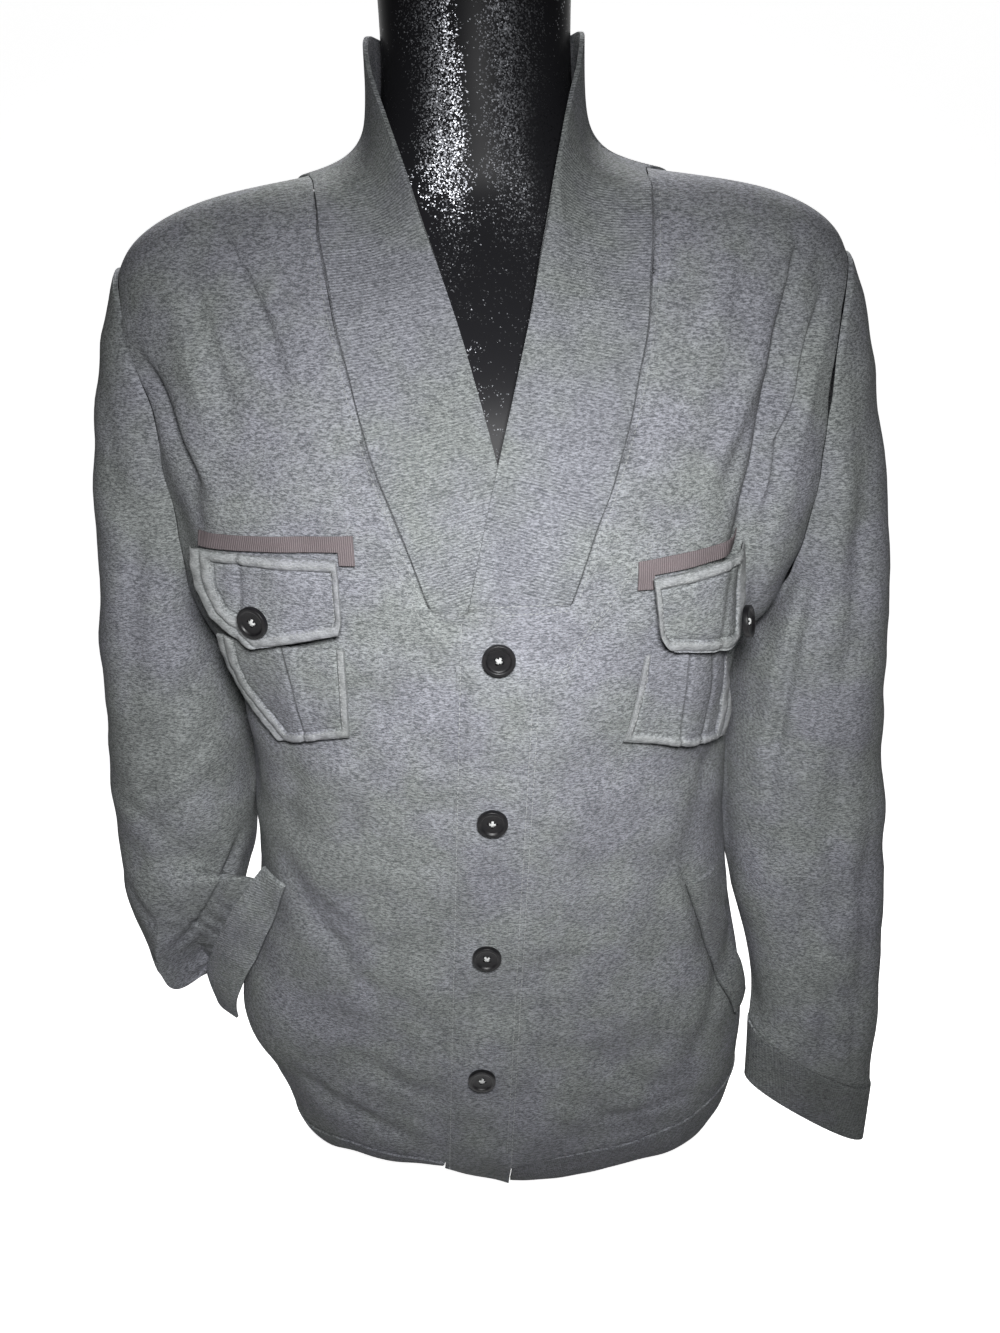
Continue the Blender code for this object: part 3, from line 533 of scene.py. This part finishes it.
def run_round(item, middle_x, middle_y, radius):
    """How far round an upright axis each point of the piece lies, in metres."""
    x, y, z = points_of(item).T
    return np.arctan2(x - middle_x, -(y - middle_y)) * radius


def store(item, name, values):
    """Keeps one value for each point, which the piece's material reads by name."""
    kept = item.data.attributes.new(name, "FLOAT", "POINT")
    kept.data.foreach_set("value", np.asarray(values, float))


def rib_finish(name, dark, light, pitch, depth):
    """The same melange in fine ribs, which run along the stored rib_run."""
    made, colour, nap = jersey_finish(name, dark, light, 1.15)
    run = made.node("ShaderNodeAttribute", {"attribute_name": "rib_run"}, {}, "Fac")
    sway = made.noise(made.place(), 160.0)
    ribs = (run * (2 * math.pi / pitch) + sway * 1.6).maths("SINE") * 0.5 + 0.5
    # The rib grooves are painted darker as well as sunk by the bump: painted shade in the grooves.
    colour = made.shaded(colour, made.ramp(ribs, ((0.0, (0.86,) * 3), (1.0, (1.03,) * 3))))
    return made.set(Base_Color=colour, Normal=made.bump(ribs * 0.6 + nap * 0.9, depth, 0.8), **MATTE)


collar_rib = rib_finish("collar_rib", (0.112, 0.117, 0.121), (0.340, 0.348, 0.355), 0.0018, 0.0006)
welt_rib = rib_finish("welt_rib", (0.135, 0.141, 0.146), (0.430, 0.440, 0.450), 0.0021, 0.0005)
band_rib = rib_finish("band_rib", (0.090, 0.094, 0.097), (0.310, 0.317, 0.324), 0.0021, 0.0005)

SIDES = {"left": 1, "right": -1}
ROLLS = ((0.0010, 0.085, 1.0), (0.0006, 0.047, 0.0))     # height, length and shift of its ease
COLLAR_RIM = 0.0009

for word, side in SIDES.items():
    node = "collar_" + word
    half = smooth_copy(node, word + "_collar", 3, COLLAR_RIM)
    run = run_along(half, [(side * x, y, z) for x, y, z in COLLAR_LINE])
    co = points_of(half)
    low = ease((COLLAR_FOOT_Z - co[:, 2]) / 0.08) * ease(-co[:, 1] / 0.03)
    roll = sum(high * np.sin(run * 2 * np.pi / long + side * shift) for high, long, shift in ROLLS)
    move_points(half, co + body_outward(co) * (body_height(co) * low + roll * 0.6)[:, None])
    snug(half, panels.values(), 0.0016, 0.0040)
    snug(panels["front_" + word], [half], 0.0042, 0.0075)
    store(half, "rib_run", run)
    finished(half, collar_rib, "rib", node)

CUFF_RADIUS, BODY_RADIUS = 0.042, 0.15      # of the circles that the ribs are spaced round
BAND_RIM, WELT_RIM, CUFF_RIM = 0.0009, 0.0008, 0.0007
cuffs = {}
for node, name, middle in (("cuff_left", "left_cuff", (0.240, -0.032)),
                           ("cuff_right", "right_cuff", (-0.190, -0.045))):
    cuffs[node] = smooth_copy(node, name, 3, CUFF_RIM if node == "cuff_left" else 0.0)
    store(cuffs[node], "rib_run", run_round(cuffs[node], *middle, CUFF_RADIUS))
    finished(cuffs[node], band_rib, "rib", node)

for node, name, width, height in (("hem_back", "back_hem_band", 0.43, 0.050),
                                  ("hem_left", "left_hem_band", 0.215, 0.047),
                                  ("hem_right", "right_hem_band", 0.155, 0.029)):
    band = smooth_copy(node, name, 3, BAND_RIM)
    drape_body(band)
    store(band, "rib_run", run_round(band, 0.0, 0.0, BODY_RADIUS))
    finished(band, band_rib, "rib", node)

for node, name in (("welt_left", "left_welt"), ("welt_right", "right_welt")):
    strip = smooth_copy(node, name, 3, WELT_RIM)
    drape_body(strip)
    store(strip, "rib_run", points_of(strip)[:, 2])
    finished(strip, welt_rib if node == "welt_right" else band_rib, "rib", node)

# ---- Chest pockets, flaps and tapes --------------------------------------
# Patch pockets of the body's jersey with a box pleat, closed by buttoned flaps. Their
# edges are turned and stitched into a raised rim; grosgrain tape covers the top.
FLAP_OUTLINES = {
    # x, z in millimetres, once round
    "flap_right": ((-79.5, 531), (-79.0, 518), (-79.0, 496), (-81.5, 488), (-133.0, 476),
                   (-158.0, 493), (-164.0, 507), (-164.0, 520), (-163.0, 531.5)),
    "flap_left": ((88.5, 516.5), (90.0, 505), (93.0, 481), (99.0, 472.5), (150.0, 465),
                  (152.5, 474), (153.0, 508), (152.0, 524)),
}
POCKET_OUTLINES = {
    "pocket_right": ((-81.5, 494), (-81.5, 460), (-82.5, 430), (-83.0, 419), (-128.5, 405.5),
                     (-141.0, 421), (-153.0, 439), (-157.0, 456), (-158.0, 494)),
    "pocket_left": ((88.5, 488), (86.5, 454), (80.5, 424), (77.5, 411.5), (145.0, 390.5),
                    (149.0, 412), (150.0, 434), (150.0, 492)),
}


def from_edge(x, z, outline):
    """Distance to the nearest side of an outline given in millimetres."""
    nearest = np.full_like(x, 1.0)
    for (x0, z0), (x1, z1) in zip(outline, outline[1:] + outline[:1]):
        dx, dz = (x1 - x0) * MM, (z1 - z0) * MM
        share = np.clip(((x - x0 * MM) * dx + (z - z0 * MM) * dz) / (dx * dx + dz * dz), 0, 1)
        nearest = np.minimum(nearest, np.hypot(x - x0 * MM - share * dx, z - z0 * MM - share * dz))
    return nearest


def rim_height(gap, width, height, groove):
    """A turned edge: a round rim of that width, then the groove of its stitching."""
    rim = np.sqrt(np.clip(1 - ((gap - width / 2) / (width / 2)) ** 2, 0, 1)) * height
    return rim - groove * np.exp(-((gap - width - 0.0006) / 0.0008) ** 2)


def dent(off, depth, width):
    """The section of a pressed fold: a trough of that depth and half width."""
    return -depth * np.exp(-(off / width) ** 2)


POCKET_EDGE, POCKET_EDGE_HIGH, POCKET_RIM = 0.0058, 0.0017, 0.0005
PLEAT_FROM, PLEAT_TO, PLEAT_HIGH = 0.108, 0.1160, 0.0009
PLEAT_LEAN = {"left": 0.05, "right": 0.114}
POCKET_MIDDLE_Z = 0.44

for word, side in SIDES.items():
    node = "pocket_" + word
    patch = smooth_copy(node, word + "_pocket", 4, POCKET_RIM)
    x, y, z = points_of(patch).T
    rim = rim_height(from_edge(x, z, POCKET_OUTLINES[node]), POCKET_EDGE, POCKET_EDGE_HIGH, 0.0009)
    rim *= 1.0 + 0.25 * np.sin(x * 520.0) * np.sin(z * 430.0)
    run = np.abs(x) - (z - POCKET_MIDDLE_Z) * PLEAT_LEAN[word]
    pleat = PLEAT_HIGH * ease((run - PLEAT_FROM) / 0.0014) * ease((PLEAT_TO - run) / 0.0014)
    pleat += dent(run - PLEAT_TO - 0.0012, PLEAT_HIGH, 0.0013)
    if side > 0:
        pleat += dent(run - 0.1345 + 3.0 * (z - 0.432) ** 2, 0.0014, 0.0016)
    drape_body(patch, rim + pleat)
    store(patch, "rubbed", np.clip(rim / POCKET_EDGE_HIGH, 0.0, 1.0))
    finished(patch, jersey, "jersey", node)

FLAP_EDGE, FLAP_EDGE_HIGH = 0.0066, 0.0021
FLAP_FOLD = {"left": (0.1375, 0.0026), "right": (-0.144, 0.0028)}     # x and half width

flaps = {}
for word in SIDES:
    node = "flap_" + word
    flap = smooth_copy(node, word + "_flap", 4, CLOTH_RIM)
    x, y, z = points_of(flap).T
    gap = from_edge(x, z, FLAP_OUTLINES[node])
    rim = rim_height(gap, FLAP_EDGE, FLAP_EDGE_HIGH, 0.0010)
    rim *= 1.0 + 0.20 * np.sin(x * 480.0 + 1.0) * np.sin(z * 510.0)
    soft = 0.0009 * np.sin(x * 2 * np.pi / 0.061 + 1.0) * ease(gap / 0.01)
    fold_x, fold_width = FLAP_FOLD[word]
    drape_body(flap, rim + soft + dent(x - fold_x - (z - 0.5) * 0.1, 0.0016, fold_width))
    store(flap, "rubbed", np.clip(rim / FLAP_EDGE_HIGH, 0.0, 1.0))
    flaps[node] = finished(flap, jersey, "jersey", node)

ribbon = Finish("taupe_grosgrain")
weft = ribbon.node("ShaderNodeTexWave", {"wave_type": "BANDS", "bands_direction": "X"}, {
    "Vector": ribbon.place(), "Scale": 260.0, "Distortion": 1.2, "Detail": 1.0, "Detail Scale": 2.0}, "Fac")
thread_grain = ribbon.noise(ribbon.place(), 900.0, 2.0, 0.6)
# The colour follows the thread grain. It is also painted darker in the grooves between the weft ribs, as
# painted shade that matches the bump.
ribbon_grain_and_groove_shade = ribbon.ramp(weft * 0.55 + thread_grain * 0.45, (
    (0.25, (0.125, 0.105, 0.110)), (0.75, (0.215, 0.180, 0.187))))
grosgrain = ribbon.set(Base_Color=ribbon_grain_and_groove_shade, Roughness=0.85, Specular_IOR_Level=0.25,
                       Normal=ribbon.bump(weft, 0.0004, 0.7))
for word, length in (("left", 0.104), ("right", 0.130)):
    strip = smooth_copy("tape_" + word, word + "_tape", 3, 0.0003)
    drape_body(strip)
    finished(strip, grosgrain, "tape", "tape_" + word)

# ---- Buttons -------------------------------------------------------------
# Four-hole buttons turned from black polyester, with a raised rim and a dished face,
# sewn on with pale thread that crosses between the holes.
BUTTON_RADIUS = 0.0095
BUTTON_THICK = 0.0034
HOLE_RADIUS = 0.00085
HOLE_REACH = 0.0025

black = Finish("polished_black_polyester")
cloudy = black.noise(black.place(), 240.0, 3.0)
button_black = black.set(
    Base_Color=black.ramp(cloudy, ((0.35, (0.004, 0.004, 0.005)), (0.70, (0.010, 0.009, 0.010)))),
    Roughness=0.34 + 0.16 * cloudy, Specular_IOR_Level=0.35)
pale = Finish("pale_sewing_thread")
strands = pale.noise(pale.stretched(pale.place(), (1.0, 1.0, 3.0)), 1800.0, 2.0)
pale_tone = pale.ramp(strands, ((0.3, (0.42, 0.43, 0.43)), (0.7, (0.62, 0.63, 0.62))))
pale_thread = pale.set(Base_Color=pale_tone, Roughness=0.7)


def turned_button():
    """One button lying flat at the origin, facing up."""
    bpy.ops.mesh.primitive_cylinder_add(vertices=56, radius=BUTTON_RADIUS, depth=BUTTON_THICK,
                                        location=(0, 0, 0))
    item = bpy.context.object
    only(item)
    bpy.ops.object.mode_set(mode="EDIT")
    bpy.ops.mesh.select_mode(type="FACE")
    bpy.ops.mesh.select_all(action="DESELECT")
    bpy.ops.object.mode_set(mode="OBJECT")
    for face in item.data.polygons:
        face.select = face.normal.z > 0.9
    bpy.ops.object.mode_set(mode="EDIT")
    bpy.ops.mesh.inset(thickness=0.0020)
    bpy.ops.mesh.inset(thickness=0.0009)
    bpy.ops.transform.translate(value=(0, 0, -0.0011))
    bpy.ops.mesh.inset(thickness=0.0022)
    bpy.ops.transform.translate(value=(0, 0, -0.0002))
    bpy.ops.object.mode_set(mode="OBJECT")
    apply_modifier(item, "BEVEL", width=0.00042, segments=3, limit_method="ANGLE",
                   angle_limit=math.radians(22))
    drills = []
    for x in (-1, 1):
        for y in (-1, 1):
            bpy.ops.mesh.primitive_cylinder_add(
                vertices=16, radius=HOLE_RADIUS, depth=4 * BUTTON_THICK,
                location=(x * HOLE_REACH * 0.7, y * HOLE_REACH * 0.7, 0))
            drills.append(bpy.context.object)
    for drill in drills:
        apply_modifier(item, "BOOLEAN", operation="DIFFERENCE", solver="EXACT", object=drill)
    for drill in drills:
        bpy.data.objects.remove(drill, do_unlink=True)
    return item


def crossed_thread():
    """Thread over the button, from hole to hole, in a cross."""
    bars = []
    for turn in (45, 135):
        for shift in (-0.00040, 0.00040):
            bpy.ops.mesh.primitive_torus_add(
                major_radius=HOLE_REACH * 0.72, minor_radius=0.00040, major_segments=20,
                minor_segments=8, location=(0, 0, 0), rotation=(math.radians(90), 0, 0))
            bar = bpy.context.object
            bar.scale = (1.0, 0.55, 1.0)
            bar.location = (0, 0, BUTTON_THICK / 2 - 0.0015)
            bpy.ops.object.transform_apply(location=True, rotation=True, scale=True)
            bar.data.transform(Matrix.Rotation(math.radians(turn), 4, "Z")
                               @ Matrix.Translation((0, shift, 0)))
            bars.append(bar)
    bpy.ops.object.select_all(action="DESELECT")
    for bar in bars:
        bar.select_set(True)
    bpy.context.view_layer.objects.active = bars[0]
    bpy.ops.object.join()
    return bars[0]


def place_of(node):
    """The middle of a CAD button and the turn of its face, pointing outwards."""
    co = points_of(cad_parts[node])
    middle = (co.min(0) + co.max(0)) / 2
    spread = np.linalg.svd(co - co.mean(0), full_matrices=False)[2]
    facing = Vector(spread[2])
    if facing.dot(Vector((middle[0], -0.1, 0.0))) < 0:
        facing.negate()
    across = Vector((1, 0, 0)) - facing * facing.x
    across.normalize()
    up = facing.cross(across)
    place = Matrix((across, up, facing)).transposed().to_4x4()
    lift = body_height(middle[None, :])[0]
    place.translation = Vector(middle + body_outward(middle[None, :])[0] * lift)
    return place


pattern, thread_pattern = turned_button(), crossed_thread()
BUTTONS = (("button_1", "front_button_1", 12), ("button_2", "front_button_2", 40),
           ("button_3", "front_button_3", -8), ("button_4", "front_button_4", 25),
           ("flap_button_left", "left_flap_button", 5), ("flap_button_right", "right_flap_button", 33))
for node, name, turn in BUTTONS:
    place = place_of(node) @ Matrix.Rotation(math.radians(turn), 4, "Z")
    for source, title, finish in ((pattern, name, button_black),
                                  (thread_pattern, name + "_thread", pale_thread)):
        copy = bpy.data.objects.new(title, source.data.copy())
        bpy.context.scene.collection.objects.link(copy)
        copy.data.transform(place)
        copy.data.shade_smooth()
        if source is pattern:
            only(copy)
            bpy.ops.object.shade_smooth_by_angle(angle=math.radians(35))
            finished(copy, finish, "button", node)
        else:
            finished(copy, finish, "button")
for source in (pattern, thread_pattern):
    bpy.data.objects.remove(source, do_unlink=True)

# ---- Stitching -----------------------------------------------------------
# Rows of lockstitch in grey thread hold the plackets, the facing, the collar, the
# pockets and the flaps. Each stitch is a small bead pressed into the cloth.
STITCH_LONG = 0.0024
STITCH_GAP = 0.0009
STITCH_RADIUS = 0.00032
STITCH_SINK = 0.35

grey = Finish("grey_sewing_thread")
grey_strands = grey.noise(grey.place(), 1500.0, 2.0)
grey_tone = grey.ramp(grey_strands, ((0.3, (0.24, 0.25, 0.25)), (0.7, (0.37, 0.38, 0.38))))
grey_thread = grey.set(Base_Color=grey_tone, Roughness=0.8)

bpy.ops.mesh.primitive_uv_sphere_add(segments=6, ring_count=4, radius=1.0, location=(0, 0, 0))
bead = bpy.context.object
bead_points = points_of(bead)
bead_faces = [tuple(face.vertices) for face in bead.data.polygons]
bpy.data.objects.remove(bead, do_unlink=True)


def evenly(path, step):
    """Points at even steps along a path."""
    path = np.array(path, float)
    lengths = np.linalg.norm(path[1:] - path[:-1], axis=1)
    runs = np.concatenate([[0.0], np.cumsum(lengths)])
    wanted = np.arange(0.0, runs[-1], step)
    return np.stack([np.interp(wanted, runs, path[:, i]) for i in range(path.shape[1])], axis=1)


CURVE_STEPS = 12


def curved(path):
    """A smooth path through the given points."""
    path = [Vector((*p, 0.0)) for p in path]
    ends = [path[0] * 2 - path[1]] + path + [path[-1] * 2 - path[-2]]
    made = []
    for a, b, c, d in zip(ends, ends[1:], ends[2:], ends[3:]):
        for i in range(CURVE_STEPS):
            t = i / CURVE_STEPS
            made.append(0.5 * ((2 * b) + (c - a) * t + (2 * a - 5 * b + 4 * c - d) * t ** 2
                               + (3 * b - a - 3 * c + d) * t ** 3))
    return made + [path[-1]]


BACKWARD = Vector((0, 1, 0))


def sew(name, paths, surface):
    """Lays rows of stitches on a surface. A path is x, z in millimetres, and its
    stitches are found straight behind it."""
    points, faces = [], []
    for path in paths:
        spots = evenly([(p.x * MM, p.y * MM) for p in curved(path)], (STITCH_LONG + STITCH_GAP) / 2)
        for head, tail in zip(spots[0::2], spots[1::2]):
            ends = []
            for x, z in (head, tail):
                hit = surface.ray_cast(Vector((x, 0.0, z)) - BACKWARD * 0.4, BACKWARD, 0.8)
                ends.append(hit[:2])
            (first, normal), (last, _) = ends
            if first is None or last is None or (first - last).length > 3 * STITCH_LONG:
                continue
            normal = -normal if normal.dot(BACKWARD) > 0 else normal
            along = (last - first).normalized()
            beside = along.cross(normal).normalized()
            middle = (first + last) / 2 + normal * STITCH_RADIUS * STITCH_SINK
            basis = np.array([along * (STITCH_LONG / 2), beside * STITCH_RADIUS, normal * STITCH_RADIUS])
            start = len(points)
            points += [tuple(row) for row in bead_points @ basis + np.array(middle)]
            faces += [tuple(start + i for i in face) for face in bead_faces]
    mesh = bpy.data.meshes.new(name)
    mesh.from_pydata(points, [], faces)
    item = bpy.data.objects.new(name, mesh)
    bpy.context.scene.collection.objects.link(item)
    mesh.shade_smooth()
    finished(item, grey_thread, "rib")


def button_line_mm(z):
    """The line of the front buttons, which leans a little on its way to the hem."""
    if z < 500:
        return 7 - 28 * (500 - z) / 500
    return 7 - 8 * float(ease((z / 1000 - 0.62) / 0.17))


COLLAR_SEAM = ((98, 724), (96, 706), (90, 670), (84, 640), (75.5, 605), (65.5, 573), (53, 538), (41, 504))


def beside_collar(side, off):
    return [(button_line_mm(z) + side * (x + off), z) for x, z in COLLAR_SEAM]


def placket(reach, top, foot=20):
    return [(button_line_mm(z) + reach, z) for z in np.linspace(top, foot, 9)]


front_faces = surface_of(panels["front_left"], panels["front_right"])
sew("placket_stitching", [placket(24, 452), placket(-21.5, 492), placket(20.5, 452, 60)], front_faces)
sew("facing_stitching", [[(96, 537), (71, 501), (57, 481), (42, 457)],
                         [(93, 536), (68.5, 501), (54.5, 481), (40, 457)],
                         [(-50, 522), (-40, 499), (-31, 487), (-18, 476)]], front_faces)
sew("collar_seam_stitching", [beside_collar(1, 3.2), beside_collar(-1, 3.2)], front_faces)
collar_faces = surface_of(bpy.data.objects["left_collar"], bpy.data.objects["right_collar"])
sew("collar_foot_stitching", [[(-16, 502.4), (14, 502.2), (44, 502.4)]], collar_faces)
sew("collar_foot_fixing", [[(-33, 497.6), (5, 497.2), (47, 497.6)]], front_faces)


def inside(corners, off):
    """The corners of an outline, drawn in towards its middle by off."""
    middle = np.mean(corners, axis=0)
    reaches = [max(12.0, np.linalg.norm(np.array(corner) - middle)) for corner in corners]
    return [tuple(middle + (np.array(corner) - middle) * (1 - off / reach))
            for corner, reach in zip(corners, reaches)]


for word in SIDES:
    row = inside(FLAP_OUTLINES["flap_" + word], 6.8)
    sew(word + "_flap_stitching", list(zip(row, row[1:] + row[:1])), surface_of(flaps["flap_" + word]))
for word in SIDES:
    row = inside(POCKET_OUTLINES["pocket_" + word], 5.4)
    sew(word + "_pocket_stitching", list(zip(row[:-1], row[1:])),
        surface_of(bpy.data.objects[word + "_pocket"]))

# ---- Floor, backdrop, lights and camera ----------------------------------
# A glowing white sweep of paper under and behind the form. A soft light beside the
# lens is narrowed on the chest, another is behind, and a weak fill comes all round.
bpy.ops.mesh.primitive_plane_add(size=1.0, location=(0, 0, 0))
sweep = bpy.context.object
sweep.name = "paper_sweep"
only(sweep)
sweep.data.clear_geometry()
FRONT_Y, BEND_Y, BEND_RADIUS, PAPER_TOP, PAPER_SIDE = -2.2, 1.2, 0.5, 3.0, 3.0
profile = [(FRONT_Y, 0.0), (BEND_Y, 0.0)]
profile += [(BEND_Y + BEND_RADIUS * math.sin(math.radians(a)),
             BEND_RADIUS - BEND_RADIUS * math.cos(math.radians(a))) for a in range(10, 91, 10)]
profile += [(BEND_Y + BEND_RADIUS, PAPER_TOP)]
sweep_points = [(x, y, z - 0.0002) for y, z in profile for x in (-PAPER_SIDE, PAPER_SIDE)]
sweep.data.from_pydata(sweep_points, [], [(2 * i, 2 * i + 1, 2 * i + 3, 2 * i + 2)
                                          for i in range(len(profile) - 1)])
sweep.data.shade_smooth()

# The paper glows less in front of the form and far out to its sides.
paper = Finish("white_paper")
width = paper.node("ShaderNodeSeparateXYZ", {}, [paper.place()], 0)
depth = paper.node("ShaderNodeSeparateXYZ", {}, [paper.place()], 1)
beside = width.maths("ABSOLUTE") - depth * 0.45 - 0.42
behind = (depth + 0.24) * 20.0
lit = paper.ramp(behind.maths("MINIMUM", 0.6 - beside * 2.5), (
    (0.0, (0.55, 0.55, 0.55)), (0.6, (1.0, 1.0, 1.0))))
white_paper = paper.set(Base_Color=(0.90, 0.90, 0.90, 1.0), Roughness=0.9,
                        Emission_Color=lit, Emission_Strength=0.96)
sweep.data.materials.append(white_paper)
sweep.visible_diffuse = False       # it is seen white, and does not light the cloth


def soft_light(name, place, target, size, power, spread):
    lamp = bpy.data.lights.new(name, "AREA")
    lamp.shape, lamp.size, lamp.energy, lamp.spread = "DISK", size, power, math.radians(spread)
    item = bpy.data.objects.new(name, lamp)
    bpy.context.scene.collection.objects.link(item)
    item.location = place
    item.rotation_euler = (Vector(target) - Vector(place)).to_track_quat("-Z", "Y").to_euler()


soft_light("lens_light", (0.03, -0.74, 0.80), (0.0, 0.0, 0.33), 0.12, 1.95, 80)
soft_light("back_light", (0.0, 0.95, 1.45), (0.0, 0.0, 0.36), 0.5, 5.5, 70)

world = bpy.data.worlds.new("room")
bpy.context.scene.world = world
world.use_nodes = True
fill = world.node_tree.nodes["Background"].inputs
fill["Color"].default_value = (1.0, 1.0, 1.0, 1.0)
fill["Strength"].default_value = 0.03

lens = bpy.data.cameras.new("camera")
camera = bpy.data.objects.new("camera", lens)
bpy.context.scene.collection.objects.link(camera)
lens.sensor_width = 36.0
lens.lens = 31.06
EYE = (0.006, -0.747, 0.711)
PITCH, ROLL = math.radians(22.0), math.radians(1.3)
ahead = Vector((0, math.cos(PITCH), -math.sin(PITCH)))
right = Vector((1, 0, 0))
upward = right.cross(ahead)
rolled_right = right * math.cos(ROLL) - upward * math.sin(ROLL)
rolled_up = right * math.sin(ROLL) + upward * math.cos(ROLL)
camera.matrix_world = Matrix.Translation(EYE) @ Matrix(
    (rolled_right, rolled_up, -ahead)).transposed().to_4x4()
bpy.context.scene.camera = camera
bpy.context.scene.view_settings.view_transform = "Standard"
